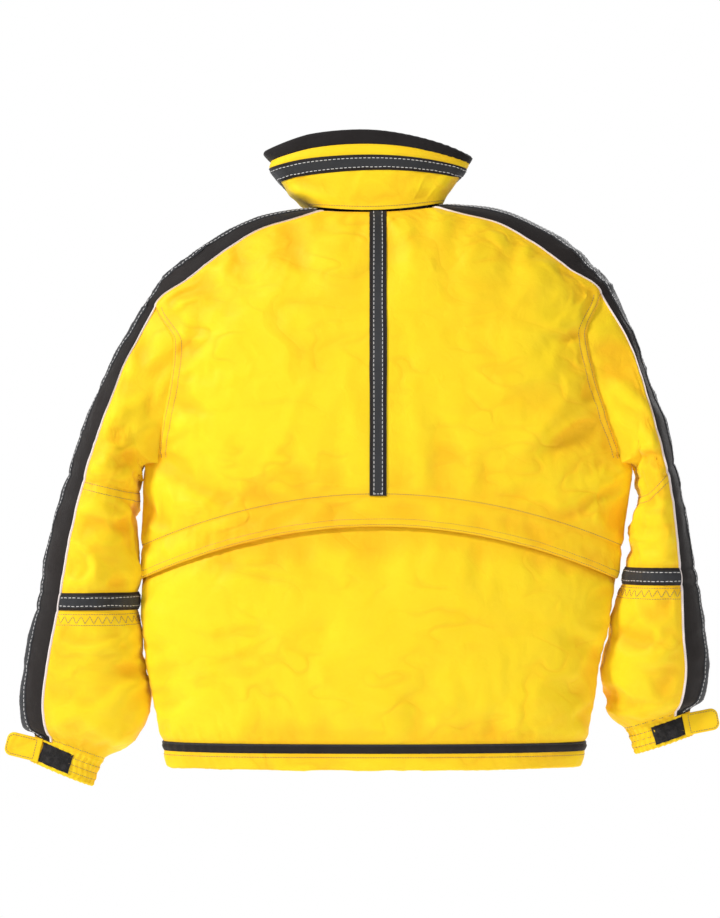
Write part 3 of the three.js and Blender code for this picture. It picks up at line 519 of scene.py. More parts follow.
def shape_body(body):
    p = body.points
    r, c = body.grid()
    x, z = p[..., 0], p[..., 2]
    back = between(c, SIDE["left"], SIDE["right"], 0.4)
    height = 1.8 * waves(p, 210, 1) + 1.2 * waves(p, 95, 2)
    stretched = p * np.array([0.55, 1, 1.0])
    height += 1.6 * (creases(stretched, 120, 11) - 0.5) + 0.9 * (creases(p, 55, 23) - 0.5)
    near_arm = np.exp(-(np.minimum(body.from_column(9), body.from_column(19)) / 60) ** 2)
    height += 2.8 * near_arm * (creases(p, 46, 31) - 0.5) * between(r, 3, 11, 1.5)
    for ends, width, depth, bow in BACK_FOLDS:
        height += back * fold(p, ends, width, 1.5 * depth, bow)
        mirrored = (-ends[0] + 14, ends[1] - 12, -ends[2] + 10, ends[3] - 9)
        height += (1 - back) * fold(p, mirrored, width, 0.8 * depth, -bow) * (np.abs(x) > 30)
    seams = 0
    far = np.full(r.shape, 1e3)
    for row, where in (
        (YOKE, back), (FLAP, back), (HEM_STRIPE, 1), (HEM_STRIP, 1), (0, 1),
    ):
        d = body.from_row(row)
        deep = 1.4 if row in (HEM_STRIP, YOKE) else 2.2
        seams = seams + press_seam(d, body.across, where, deep, 4)
        far = np.minimum(far, np.where(np.asarray(where) > 0.5, d, 1e3))
    for side in SIDES:
        below = between(r, UNDERARM, HEM, 0.4)
        d = body.from_column(SIDE[side])
        seams = seams + press_seam(d, body.down, below, 2.0, 4, 0.9, 17)
        far = np.minimum(far, np.where(below > 0.5, d, 1e3))
        for edge in (BACK_EDGE[side], FRONT_EDGE[side]):
            d = body.from_column(edge)
            above = 1 - below
            at_arm = between(r, SHOULDER, UNDERARM, 0.5)
            seams = seams + press_seam(d, body.down, above, 1.2 + 2.2 * at_arm, 3.5, 0.5 + 0.6 * at_arm, 15)
            far = np.minimum(far, np.where(above > 0.5, d, 1e3))
    flap = back * between(r, YOKE, FLAP, 0.05)
    ripple = np.sin(2 * np.pi * body.across / 12.5 + 2 * np.sin(body.across / 47))
    height += flap * 0.55 * ripple * (0.6 + 0.4 * np.sin(body.across / 61))
    calm = 1 - 0.75 * np.exp(-((x / 22) ** 2)) * between(r, 0, YOKE, 0.3) * back
    edge = 0.25 + 0.75 * ease(far / 30)
    front_edge = ease(np.minimum(body.from_column(0), body.from_column(COLUMNS)) / 25)
    height = height * calm * edge * (0.15 + 0.85 * front_edge) * (0.25 + 0.75 * ease(z / -60))
    height += 1.6 * (1 - np.exp(-far / 18)) - 1.0
    body.push(height + seams * (0.2 + 0.8 * front_edge))
    held = np.minimum(far, np.minimum(body.from_column(0), body.from_column(COLUMNS)))
    held[under_sleeve(c) & (r < UNDERARM)] = 0
    held[r >= HEM_STRIPE] = 0
    beside = sum(np.exp(-(body.from_column(SIDE[side]) / 30) ** 2) for side in SIDES)
    beside = beside * between(r, UNDERARM + 0.6, 15, 1)
    from_pocket = np.minimum(*(np.abs(body.from_column(k) - POCKET_X + ZIP_HALF_GAP) for k in (0, COLUMNS)))
    at_pocket = (1 - back) * between(from_pocket, -1, 22, 18) * between(r, FLAP - 0.4, FLAP + 3.4, 0.8)
    body.push((inflate(body, held, 0.03) + 2.0 * beside) * (1 - at_pocket) - body.shift * at_pocket)


def shape_collar(collar):
    """The standing collar leans left and its right end is crushed over a little."""
    p = collar.points
    r, c = collar.grid()
    from_zip = np.minimum(np.minimum(c, COLUMNS - c), 5) / 5
    up = ease(r / COLLAR_TOP) * from_zip
    collar.points = p + np.stack(
        [
            -13 * up - 12 * between(r, 1.0, 3, 1.2) * from_zip * ease(-p[..., 0] / 110),
            0 * r,
            -9 * up * np.clip(p[..., 0] / 130, -0.6, 1),
        ],
        axis=-1,
    )
    collar.measure()
    p = collar.points
    height = 0.8 * waves(p, 120, 41) + 0.9 * (creases(p, 60, 43) - 0.5) * (r < BAND_LOW + 0.5)
    left = ease(-p[..., 0] / 60)
    right = ease(p[..., 0] / 60)
    height += left * fold(p, (-118, 30, -62, 8), 7, 3.4, 4) + left * fold(p, (-128, 52, -96, 12), 6, 2.0, 3)
    height += right * fold(p, (112, 60, 66, 10), 8, 3.6, -5) + right * fold(p, (92, 36, 30, 20), 8, 2.0, -4)
    calm = ease(collar.from_row(0) / 18) * ease(collar.from_row(COLLAR_TOP) / 8)
    height = height * calm
    for row in (BAND_LOW, BAND_TOP, FACING):
        height += press_seam(collar.from_row(row), collar.across, 1, 1.2, 2.5, 0.25, 11)
    collar.push(height)


SLEEVE_FOLDS = {
    "left": [
        ((-318, -250, -385, -275), 12, 4.5, 8),
        ((-318, -300, -372, -335), 10, 3.8, -6),
        ((-322, -345, -395, -322), 11, 3.6, 5),
        ((-318, -395, -372, -380), 9, 3.4, 4),
        ((-318, -470, -392, -500), 10, 2.8, -5),
        ((-312, -560, -350, -585), 9, 2.2, 3),
        ((-306, -600, -372, -655), 12, 3.2, 6),
        ((-330, -690, -420, -640), 12, 2.8, -6),
        ((-340, -150, -318, -230), 10, 3.2, 5),
    ],
    "right": [
        ((300, -135, 350, -190), 9, 3.2, 5),
        ((296, -200, 352, -262), 10, 3.8, -6),
        ((306, -262, 364, -318), 10, 4.2, 5),
        ((326, -330, 385, -350), 9, 3.4, 4),
        ((332, -395, 388, -372), 9, 3.0, -4),
        ((330, -470, 392, -446), 9, 2.6, 4),
        ((312, -560, 372, -585), 10, 2.6, -4),
        ((306, -610, 392, -560), 11, 2.8, 6),
        ((330, -660, 400, -625), 11, 2.6, -5),
    ],
}


def shape_sleeve(sleeve, side, seed):
    p = sleeve.points
    r, c = sleeve.grid()
    behind = between(c, 0.8, 7.6, 0.6)
    outer = between(c, -1, 1.6, 0.5) + between(c, 14.4, 17, 0.5)
    height = 1.6 * waves(p, 130, seed) + 0.7 * waves(p, 60, seed + 1)
    slanted = p * np.array([0.7, 0.8, 1.25])
    height += 2.6 * (creases(slanted, 88, seed + 2) - 0.5) + 1.1 * (creases(slanted, 44, seed + 9) - 0.5)
    bend = 1 + 0.7 * between(r, 2.5, 5.5, 1.2)
    height *= bend
    for ends, width, depth, bow in SLEEVE_FOLDS[side]:
        height += behind * fold(p, ends, width, depth, bow)
        in_front = (ends[0], ends[1] - 20, ends[2], ends[3] - 14)
        height += (1 - behind) * fold(p, in_front, width, depth * 0.8, -bow)
    height *= 1 - 0.6 * np.clip(outer, 0, 1)
    far = np.minimum.reduce([sleeve.from_row(k) for k in (0, ELBOW, FOREARM, FOREARM_END, CUFF)])
    far = np.minimum.reduce([far, sleeve.from_column(2), sleeve.from_column(14)])
    height = height * (0.2 + 0.8 * ease(far / 24))
    across = sleeve.across[:, :-1]
    height += 1.8 * (1 - np.exp(-far / 16)) - 0.8
    gather = np.exp(-sleeve.from_row(CUFF) / 26) * (r < CUFF)
    ribs = np.sin(across * 2 * np.pi / 10.5 + 1.2 * np.sin(across / 23))
    height += 1.5 * gather * ribs
    for row in (ELBOW, FOREARM, FOREARM_END):
        height += press_seam(sleeve.from_row(row), across, 1, 1.2, 3.5, 0.6, 12)
    for column in (2, 14):
        height += press_seam(sleeve.from_column(column), sleeve.down, r < CUFF, 0.9, 3.5, 0.4, 16)
    in_cuff = between(r, CUFF, CUFF_END, 0.02)
    elastic = np.cos(2 * np.pi * (r - CUFF) * 3.0)
    fine_ribs = np.sin(across * 2 * np.pi / 7.5 + 1.6 * np.sin(across / 17) + 1.4 * np.sin(r * 9))
    height = height * (1 - in_cuff) + in_cuff * (1.1 * fine_ribs + 0.7 * elastic - 0.2)
    height *= ease(sleeve.from_row(0) / 26)
    sleeve.push(height)
    held = far.copy()
    held[r >= CUFF] = 0
    calm = 1 - 0.8 * np.clip(outer, 0, 1)
    inner = between(c, 7, 9, 1.2) * between(r, 1.5, 8.5, 1.5)
    sleeve.push(inflate(sleeve, held, 0.05) * calm + 2.6 * inner)


body = body_surface(BODY_ROWS, 1, 12, 3.4)
shape_body(body)
collar = body_surface(COLLAR_ROWS, -1, 8, 2.4)
shape_collar(collar)
sleeves = {side: sleeve_surface(side, body, 8, 3.4) for side in SIDES}
for side, seed in (("left", 71), ("right", 97)):
    shape_sleeve(sleeves[side], side, seed)

# ---- Materials ----


def linear(r, g, b):
    def one(v):
        v /= 255
        return v / 12.92 if v <= 0.04045 else ((v + 0.055) / 1.055) ** 2.4

    return (one(r), one(g), one(b), 1)


class Nodes:
    """A material's nodes, with its Principled shader as self.shader."""

    def __init__(self, name):
        self.material = bpy.data.materials.new(name)
        self.material.use_nodes = True
        self.tree = self.material.node_tree
        self.shader = self.tree.nodes["Principled BSDF"]

    def add(self, kind, values=None, **settings):
        node = self.tree.nodes.new(f"ShaderNode{kind}")
        for key, value in settings.items():
            setattr(node, key, value)
        for key, value in (values or {}).items():
            if isinstance(value, bpy.types.NodeSocket):
                self.tree.links.new(value, node.inputs[key])
            else:
                node.inputs[key].default_value = value
        return node

    def math(self, operation, a, b=0.0):
        return self.add("Math", {0: a, 1: b}, operation=operation).outputs[0]

    def mix(self, factor, a, b):
        node = self.add("Mix", data_type="RGBA")
        for key, value in ((0, factor), (6, a), (7, b)):
            if isinstance(value, bpy.types.NodeSocket):
                self.tree.links.new(value, node.inputs[key])
            else:
                node.inputs[key].default_value = value
        return node.outputs[2]

    def ramp(self, value, low, high, to_low=0.0, to_high=1.0):
        return self.add(
            "MapRange", {0: value, 1: low, 2: high, 3: to_low, 4: to_high}
        ).outputs[0]

    def noise(self, vector, scale, detail=3.0, distortion=0.0):
        values = {"Vector": vector, "Scale": scale, "Detail": detail, "Distortion": distortion}
        return self.add("TexNoise", values).outputs[0]

    def ribs(self, vector, pitch, direction):
        values = {"Vector": vector, "Scale": 0.314 / pitch}
        return self.add("TexWave", values, bands_direction=direction).outputs[1]

    def bump(self, height, strength, distance, under=None):
        values = {"Height": height, "Strength": strength, "Distance": distance}
        if under is not None:
            values["Normal"] = under
        return self.add("Bump", values).outputs[0]

    def wire(self, **sockets):
        for name, value in sockets.items():
            socket = self.shader.inputs[name.replace("_", " ")]
            if isinstance(value, bpy.types.NodeSocket):
                self.tree.links.new(value, socket)
            else:
                socket.default_value = value


def cloth(name, base, deep, rough, pitch=0.8, twill=False, weave=0.25, sheen=0.1, crease=0.3, fade=0.12,
          wrinkle=0.1):
    """Woven cloth: a weave, fine creases, painted shade in the deep colour over its hollows and crease lines,
    and a worn, uneven surface.
    """
    n = Nodes(name)
    at = n.add("TexCoord").outputs["Object"]
    info = n.add("Attribute", attribute_name="cloth_mm").outputs["Vector"]
    parts = n.add("SeparateXYZ", {0: info}).outputs
    # Painted shade: where the surface was pushed in, the colour goes towards the deep colour.
    hollow = n.ramp(parts[2], 1.5, -4.0)
    blotch = n.noise(at, 9.0, 4.0, 0.6)
    speck = n.noise(at, 260.0, 2.0)
    # shade mixes that painted shade with random blotches and specks of tone.
    shade = n.math("ADD", n.math("MULTIPLY", hollow, 0.55), n.ramp(blotch, 0.35, 0.75, 0, fade))
    shade = n.math("ADD", shade, n.ramp(speck, 0.4, 0.8, 0, fade * 0.5))
    colour = n.mix(shade, base, deep)
    flat = n.add("CombineXYZ", {0: parts[0], 1: parts[1]}).outputs[0]
    if twill:
        one = n.ribs(flat, pitch, "DIAGONAL")
        two = n.ribs(flat, pitch * 0.7, "X")
    else:
        one = n.ribs(flat, pitch, "X")
        two = n.ribs(flat, pitch, "Y")
    threads = n.math("MULTIPLY", one, two)
    fine = n.bump(threads, weave, 0.0004)
    soft = n.noise(at, 46.0, 5.0, 1.4)
    normal = n.bump(soft, crease, 0.0022, fine)
    bent = n.add("Mapping", {0: at, 3: (0.75, 1, 1.15)}).outputs[0]
    # Crease lines, bumped in and darkened towards the deep colour as painted shade.
    for scale, depth in ((9.0, 0.004), (21.0, 0.0016)):
        ridge = n.math("ABSOLUTE", n.math("SUBTRACT", n.noise(bent, scale, 1.0, 0.25), 0.5))
        patch = n.ramp(n.noise(at, scale * 0.42, 1.0), 0.44, 0.6)
        line = n.math("MULTIPLY", n.ramp(ridge, 0.0, 0.07, 1, 0), patch)
        normal = n.bump(line, wrinkle, -depth, normal)
        colour = n.mix(n.math("MULTIPLY", line, wrinkle * 0.7), colour, deep)
    worn = n.noise(at, 34.0, 3.0)
    n.wire(
        Base_Color=n.mix(n.ramp(threads, 0, 1, 0.10, 0.0), colour, deep),
        Roughness=n.ramp(worn, 0.3, 0.7, rough - 0.08, rough + 0.08),
        Normal=normal,
        Sheen_Weight=sheen,
        Sheen_Roughness=0.45,
    )
    n.shader.inputs["Specular IOR Level"].default_value = 0.3
    return n.material


def thread(name, base, deep, rough=0.55):
    """Twisted sewing thread or covered cord."""
    n = Nodes(name)
    at = n.add("TexCoord").outputs["Object"]
    twist = n.ribs(at, 0.0011, "DIAGONAL")
    dust = n.noise(at, 120.0, 3.0)
    n.wire(
        Base_Color=n.mix(n.math("MULTIPLY", n.math("ADD", twist, dust), 0.35), base, deep),
        Roughness=n.ramp(dust, 0.3, 0.7, rough - 0.1, rough + 0.1),
        Normal=n.bump(twist, 0.3, 0.0002),
        Sheen_Weight=0.15,
    )
    return n.material


def hook_tape(name):
    n = Nodes(name)
    at = n.add("TexCoord").outputs["Object"]
    cell = n.add("TexVoronoi", {"Vector": at, "Scale": 780.0}).outputs[0]
    dust = n.noise(at, 140.0, 4.0)
    n.wire(
        Base_Color=n.mix(n.ramp(dust, 0.45, 0.75, 0, 0.5), linear(20, 18, 19), linear(66, 62, 62)),
        Roughness=n.ramp(cell, 0, 0.6, 0.75, 0.98),
        Normal=n.bump(cell, 0.8, 0.0006),
    )
    return n.material


def hard(name, base, edge, rough, metallic=0.0, coat=0.0):
    """Cast metal or moulded plastic, rubbed lighter in patches."""
    n = Nodes(name)
    at = n.add("TexCoord").outputs["Object"]
    rub = n.noise(at, 210.0, 5.0, 0.8)
    scratch = n.noise(n.add("Mapping", {0: at, 3: (30, 30, 900)}).outputs[0], 4.0, 3.0)
    n.wire(
        Base_Color=n.mix(n.ramp(rub, 0.5, 0.8, 0, 0.7), base, edge),
        Metallic=metallic,
        Roughness=n.ramp(scratch, 0.3, 0.7, rough - 0.06, rough + 0.1),
        Normal=n.bump(scratch, 0.12, 0.0002),
        Coat_Weight=coat,
    )
    return n.material


# Each cloth's second colour is its painted shade in hollows and crease lines, and also the tone of its
# blotches; ORANGE is the yellow cloth's.
YELLOW, ORANGE = linear(255, 222, 18), linear(250, 176, 2)
MATERIALS = {
    "yellow": cloth("yellow_cloth", YELLOW, ORANGE, 0.66, sheen=0.12, wrinkle=0.42),
    "black": cloth("black_cloth", linear(34, 27, 25), linear(18, 14, 13), 0.72, 0.9, True, 0.4, 0.12),
    "facing": cloth("facing_cloth", linear(30, 25, 25), linear(15, 12, 12), 0.85, 1.1, False, 0.35, 0.12),
    "ribbon": cloth("ribbon_cloth", linear(52, 53, 56), linear(28, 28, 31), 0.6, 1.3, True, 0.7, 0.1, 0.15),
    "lining": cloth("lining_cloth", linear(44, 44, 50), linear(24, 24, 28), 0.42, 0.5, False, 0.15, 0.05),
    "tape": cloth("zip_tape_cloth", linear(38, 36, 38), linear(20, 19, 20), 0.75, 1.4, True, 0.6, 0.1),
    "hook": hook_tape("hook_tape"),
    "piping": thread("piping_cord", linear(246, 236, 232), linear(214, 196, 194)),
    "white_thread": thread("white_thread", linear(240, 238, 236), linear(190, 186, 186)),
    "mauve_thread": thread("mauve_thread", linear(152, 112, 92), linear(112, 80, 74)),
    "cord": thread("pull_cord", linear(38, 34, 36), linear(18, 16, 17), 0.7),
    "teeth": hard("zip_teeth", linear(34, 32, 34), linear(70, 68, 70), 0.42, 0.0, 0.1),
    "metal": hard("zip_metal", linear(120, 118, 116), linear(176, 174, 170), 0.34, 0.92),
}

# ---- Making pieces ----


def go_with(obj, body_name):
    """Rides on one body, or for a sleeve has its transform baked into its mesh."""
    if body_name in SIDES:
        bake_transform(obj)
    else:
        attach(obj, body_name)


def make(name, points, faces, material, goes, replaced=(), info=None, sharp=55):
    mesh = bpy.data.meshes.new(name)
    mesh.from_pydata((np.asarray(points) * MM).tolist(), [], faces)
    if info is not None:
        layer = mesh.attributes.new("cloth_mm", "FLOAT_VECTOR", "POINT")
        layer.data.foreach_set("vector", np.asarray(info, np.float32).ravel())
    mesh.materials.append(MATERIALS[material])
    mesh.shade_smooth()
    mesh.set_sharp_from_angle(angle=math.radians(sharp))
    obj = bpy.data.objects.new(name, mesh)
    bpy.context.scene.collection.objects.link(obj)
    go_with(obj, goes)
    if replaced:
        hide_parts(*replaced)
    return obj


def solid_faces(n, m, keep=None, around=False):
    """Faces of a closed slab over an n by m lattice: the top's points first, then the bottom's."""
    cells = m if around else m - 1
    if keep is None:
        keep = np.ones((n - 1, cells), bool)
    top = np.arange(n * m).reshape(n, m)
    if around:
        top = np.concatenate([top, top[:, :1]], axis=1)
    low = top + n * m
    i, j = np.nonzero(keep)
    ring = [(i, j), (i + 1, j), (i + 1, j + 1), (i, j + 1)]
    faces = [np.stack([top[k] for k in ring], axis=1)]
    faces.append(np.stack([low[k] for k in ring[::-1]], axis=1))
    padded = np.pad(keep, 1)
    if around:
        padded[1:-1, 0], padded[1:-1, -1] = keep[:, -1], keep[:, 0]
    beside = [(i + 1, j), (i + 2, j + 1), (i + 1, j + 2), (i, j + 1)]
    for k, spot in enumerate(beside):
        bare = ~padded[spot]
        a = tuple(v[bare] for v in ring[k])
        b = tuple(v[bare] for v in ring[(k + 1) % 4])
        faces.append(np.stack([top[b], top[a], low[a], low[b]], axis=1))
    return np.concatenate(faces)


def outwards(points, faces):
    """The faces turned so that the closed mesh's volume is positive, and unused points dropped."""
    used, flat = np.unique(faces, return_inverse=True)
    faces, points = flat.reshape(faces.shape), points[used]
    a, b, c, d = (points[faces[:, k]] for k in range(4))
    volume = np.einsum("ij,ij->", a, np.cross(b, c)) + np.einsum("ij,ij->", a, np.cross(c, d))
    return points, (faces if volume > 0 else faces[:, ::-1]), used


def lines(low, high, step_rows):
    """Rows (or columns) from low to high with the CAD's whole ones among them."""
    out = []
    whole = [low, *[k for k in range(math.ceil(low + 1e-6), math.ceil(high))], high]
    for a, b in zip(whole, whole[1:]):
        n = max(1, math.ceil((b - a) * step_rows(a, b)))
        out += list(a + (b - a) * np.arange(n) / n)
    return np.array(out + [high])


def row_lines(surface, low, high, cell):
    def per_row(a, b):
        i, j = surface.row(a), surface.row(b)
        gap = np.mean(surface.down[int(round(j))] - surface.down[int(round(i))])
        return abs(gap) / cell / max(b - a, 1e-6)

    return lines(low, high, per_row)


def slab(name, surface, r, c, high, low, material, goes, replaced=(), keep=None, around=False):
    """A closed piece over rows r and columns c, from height low to height high."""
    r, c = (r, c) if np.ndim(r) == 2 else np.meshgrid(r, c, indexing="ij")
    r, c = np.broadcast_arrays(r, c)
    high = np.broadcast_to(high, r.shape)
    low = np.broadcast_to(low, r.shape)
    points = np.concatenate(
        [surface.at(r, c, high).reshape(-1, 3), surface.at(r, c, low).reshape(-1, 3)]
    )
    faces = solid_faces(*r.shape, keep, around)
    points, faces, used = outwards(points, faces)
    arc = surface.across
    # cloth_mm holds the arc across, the arc down and the push off the surface; the cloth shaders paint shade
    # in hollows from the push.
    info = np.stack(
        [surface.read(arc, r, c % SLEEVE_COLUMNS if surface.closed else c),
         surface.read(surface.down, r, c), surface.read(surface.shift, r, c)], axis=-1,
    ).reshape(-1, 3)
    return make(name, points, faces.tolist(), material, goes, replaced, np.tile(info, (2, 1))[used])


def strip(name, surface, r, c, cross, offsets, high, low, material, goes, replaced=(), cell=4, around=False):
    """A long strip that follows a row or a column of the surface, with offsets to each side of it."""
    offsets = np.array(offsets, float)
    if cross == "columns":
        along = row_lines(surface, r[0], r[1], cell)
        rr = np.repeat(along[:, None], len(offsets), axis=1)
        cc = surface.walk_across(rr, float(c), offsets[None, :])
        hh = np.broadcast_to(high, offsets.shape)[None, :]
        return slab(name, surface, rr, cc, hh + 0 * rr, low, material, goes, replaced)
    count = max(2, math.ceil(abs(c[1] - c[0]) * surface.cells * 0.75))
    along = np.linspace(c[0], c[1], count + 1)
    along = along[:-1] if around else along
    cc = np.repeat(along[:, None], len(offsets), axis=1)
    rr = surface.walk_down(float(r), cc, offsets[None, :])
    hh = np.broadcast_to(high, offsets.shape)[None, :] + 0 * rr
    if around:
        return slab(name, surface, rr.T, cc.T, hh.T, low, material, goes, replaced, None, True)
    return slab(name, surface, rr, cc, hh, low, material, goes, replaced)


def path_on(surface, r, c, step=1.0):
    """Rows and columns every step millimetres along a line over the surface."""
    r, c = np.asarray(r, float), np.asarray(c, float)
    dense = np.linspace(0, len(r) - 1, len(r) * 6 + 1)
    r, c = np.interp(dense, np.arange(len(r)), r), np.interp(dense, np.arange(len(c)), c)
    arc = np.concatenate([[0], np.cumsum(np.linalg.norm(np.diff(surface.at(r, c), axis=0), axis=1))])
    q = np.linspace(0, arc[-1], max(3, round(arc[-1] / step)))
    return np.interp(q, arc, r), np.interp(q, arc, c), q


def stitch_line(points, normals, q, pitch=STITCH_PITCH, fill=0.66, width=0.9, lift=0.45):
    """Points and faces of the stitches along a line, each a short rounded length of thread."""
    count = max(1, int(q[-1] / pitch))
    mid = (np.arange(count) + 0.5) * q[-1] / count
    part = np.array([-0.5, -0.32, 0.32, 0.5]) * fill * q[-1] / count
    at = (mid[:, None] + part[None, :]).ravel()
    along = np.stack([np.interp(at, q, points[:, k]) for k in range(3)], axis=-1)
    up = unit(np.stack([np.interp(at, q, normals[:, k]) for k in range(3)], axis=-1))
    ahead = np.stack([np.interp(at + 0.8, q, points[:, k]) for k in range(3)], axis=-1)
    behind = np.stack([np.interp(at - 0.8, q, points[:, k]) for k in range(3)], axis=-1)
    beside = unit(np.cross(ahead - behind, up))
    size = np.tile([0.45, 1, 1, 0.45], count)
    turn = np.arange(5) * 2 * np.pi / 5
    ring = along[:, None] + beside[:, None] * (size[:, None] * np.cos(turn))[..., None] * width / 2
    ring += up[:, None] * (size[:, None] * np.sin(turn))[..., None] * lift
    step = np.arange(5)
    side = np.stack([step, (step + 1) % 5, (step + 1) % 5 + 5, step + 5], axis=1)
    quads = (side[None] + (np.arange(3) * 5)[:, None, None]).reshape(-1, 4)
    starts = np.arange(count) * 20
    faces = (quads[None] + starts[:, None, None]).reshape(-1, 4).tolist()
    faces += (step[::-1][None] + starts[:, None]).tolist()
    faces += (step[None] + 15 + starts[:, None]).tolist()
    return ring.reshape(-1, 3), faces


def stitches(surface, r, c, base, **looks):
    r, c, q = path_on(surface, r, c)
    return stitch_line(surface.at(r, c, base), surface.read(surface.normals, r, c), q, **looks)


def sew(name, runs, material, goes):
    """One piece from several lines of stitches."""
    points, faces, count = [], [], 0
    for run_points, run_faces in runs:
        points.append(run_points)
        faces += [[v + count for v in f] for f in run_faces]
        count += len(run_points)
    return make(name, np.concatenate(points), faces, material, goes)


def beside_column(surface, rows, column, offset, cell=6):
    r = row_lines(surface, rows[0], rows[1], cell)
    return r, surface.walk_across(r, float(column), offset)


def beside_row(surface, row, columns, offset):
    c = np.linspace(columns[0], columns[1], max(3, int(abs(columns[1] - columns[0]) * 6)))
    return surface.walk_down(float(row), c, offset), c


def zigzag(surface, row, columns, offset, tall, pitch):
    """A zigzag line of stitching below a row."""
    r0, c0 = beside_row(surface, row, columns, offset)
    r1, c1 = beside_row(surface, row, columns, offset + tall)
    r, c, q = path_on(surface, r0, c0)
    r1 = np.interp(c, c1, r1) if c1[0] < c1[-1] else np.interp(c, c1[::-1], r1[::-1])
    knots = np.arange(0, q[-1], pitch / 2)
    rk, ck, rk1 = (np.interp(knots, q, v) for v in (r, c, r1))
    rz = np.where(np.arange(len(knots)) % 2 == 0, rk, rk1)
    return rz, ck


def tube(points, radius, sides=8):
    """Points and faces of a closed round tube along a line."""
    points = np.asarray(points, float)
    radius = np.broadcast_to(radius, len(points))
    ahead = unit(np.gradient(points, axis=0))
    side = unit(np.cross(ahead, [0.31, 0.2, 0.93]))
    up = np.cross(side, ahead)
    turn = np.arange(sides) * 2 * np.pi / sides
    ring = points[:, None] + radius[:, None, None] * (
        side[:, None] * np.cos(turn)[:, None] + up[:, None] * np.sin(turn)[:, None]
    )
    faces = []
    for s in range(len(points) - 1):
        for t in range(sides):
            a, b = s * sides + t, s * sides + (t + 1) % sides
            faces.append([a, b, b + sides, a + sides])
    faces.append(list(range(sides))[::-1])
    faces.append([(len(points) - 1) * sides + t for t in range(sides)])
    return ring.reshape(-1, 3), faces


def cushion_plate(outline, thick, puff, steps=(0, 0.25, 0.6, 1.0), inset=2.2):
    """A closed plate in x and y over a convex outline, with rounded edges, thicker in the middle."""
    outline = np.asarray(outline, float)
    middle = outline.mean(axis=0)
    span = np.linalg.norm(outline - middle, axis=1)
    rings = []
    for level in (1, -1):
        part = []
        for s in steps:
            shrink = 1 - inset * s / span[:, None]
            part.append(np.column_stack([
                middle + (outline - middle) * shrink,
                np.full(len(outline), level * thick / 2 * math.sin(math.pi / 2 * (0.25 + 0.75 * s))),
            ]))
        for s in (0.66, 0.33):
            flat = middle + (outline - middle) * s * (1 - inset / span[:, None])
            part.append(np.column_stack([flat, np.full(len(outline), level * (thick / 2 + puff * (1 - s)))]))
        rings.append(part)
    top, low = rings
    order = top[::-1] + low
    points = np.concatenate(order + [[[*middle, thick / 2 + puff]], [[*middle, -thick / 2 - puff]]])
    m, count = len(outline), len(order)
    faces = []
    for k in range(count - 1):
        for t in range(m):
            a, b = k * m + t, k * m + (t + 1) % m
            faces.append([a, b, b + m, a + m])
    for t in range(m):
        faces.append([count * m, (t + 1) % m, t])
        last = (count - 1) * m
        faces.append([count * m + 1, last + t, last + (t + 1) % m])
    return points, faces


def placed(points, origin, x, y, z):
    axes = np.array([x, y, z], float)
    return np.asarray(points) @ axes + np.asarray(origin, float)


def rounded_outline(width, length, radius, count=6, both=False):
    """A plate's outline from x 0 to length, rounded at its far end or at both."""
    pts = []
    for cx, cy, start in (
        (length - radius, radius, -90), (length - radius, width - radius, 0),
        (radius, width - radius, 90), (radius, radius, 180),
    ):
        if not both and cx == radius:
            pts.append((0, width if cy > radius else 0))
            continue
        for k in range(count + 1):
            a = math.radians(start + 90 * k / count)
            pts.append((cx + radius * math.cos(a), cy + radius * math.sin(a)))
    return np.array(pts)


# ---- Lattices with rolled edges ----

EDGE_STEPS = np.array([0.3, 0.9, 1.8, 3.0])


def edged_rows(surface, low, high, cell, edges):
    """Rows from low to high, with more of them close to a rolled start or end."""
    rows = row_lines(surface, low, high, cell)
    mean = surface.down.mean(axis=1)
    index = np.interp(np.arange(len(mean)), surface.marks, np.arange(len(surface.marks)))
    extra = []
    if "start" in edges:
        extra += list(np.interp(np.interp(low, index, mean) + EDGE_STEPS, mean, index))
    if "end" in edges:
        extra += list(np.interp(np.interp(high, index, mean) - EDGE_STEPS, mean, index))
    rows = np.sort(np.concatenate([rows, extra]))
    keep = np.concatenate([[True], np.diff(rows) > 1e-3])
    rows = rows[keep]
    rows[-1] = high
    return rows


def rolled(surface, r, c, edges, thick):
    """How far each face draws in near a rolled edge."""
    if not edges:
        return 0.0
    p = surface.at(r, c)
    down = np.zeros(r.shape)
    down[1:] = np.cumsum(np.linalg.norm(np.diff(p, axis=0), axis=2), axis=0)
    across = np.zeros(r.shape)
    across[:, 1:] = np.cumsum(np.linalg.norm(np.diff(p, axis=1), axis=2), axis=1)
    near = np.full(r.shape, 1e3)
    if "start" in edges:
        near = np.minimum(near, down)
    if "end" in edges:
        near = np.minimum(near, down[-1:] - down)
    if "left" in edges:
        near = np.minimum(near, across)
    if "right" in edges:
        near = np.minimum(near, across[:, -1:] - across)
    x = np.clip(1 - near / (thick / 2), 0, 1)
    return thick / 2 * (1 - np.sqrt(1 - x**2)) * 0.94


def body_columns(low, high, edges=()):
    """Columns from low to high, wider apart where the CAD's are close together."""
    out = []
    for k in range(low, high):
        narrow = FRONT_EDGE["left"] <= k < BACK_EDGE["left"] or BACK_EDGE["right"] <= k < FRONT_EDGE["right"]
        n = 5 if narrow else 12
        out += list(k + np.arange(n) / n)
    out.append(high)
    gap = EDGE_STEPS / 57
    if "left" in edges:
        out += list(low + gap)
    if "right" in edges:
        out += list(high - gap)
    return np.unique(np.round(out, 6))


def beside_armhole(r, c):
    """Which cells of a body lattice are cloth, not armhole."""
    rm = (r[:-1] + r[1:]) / 2
    cm = (c[:-1] + c[1:]) / 2
    return (rm[:, None] > UNDERARM) | ~under_sleeve(cm)[None, :]


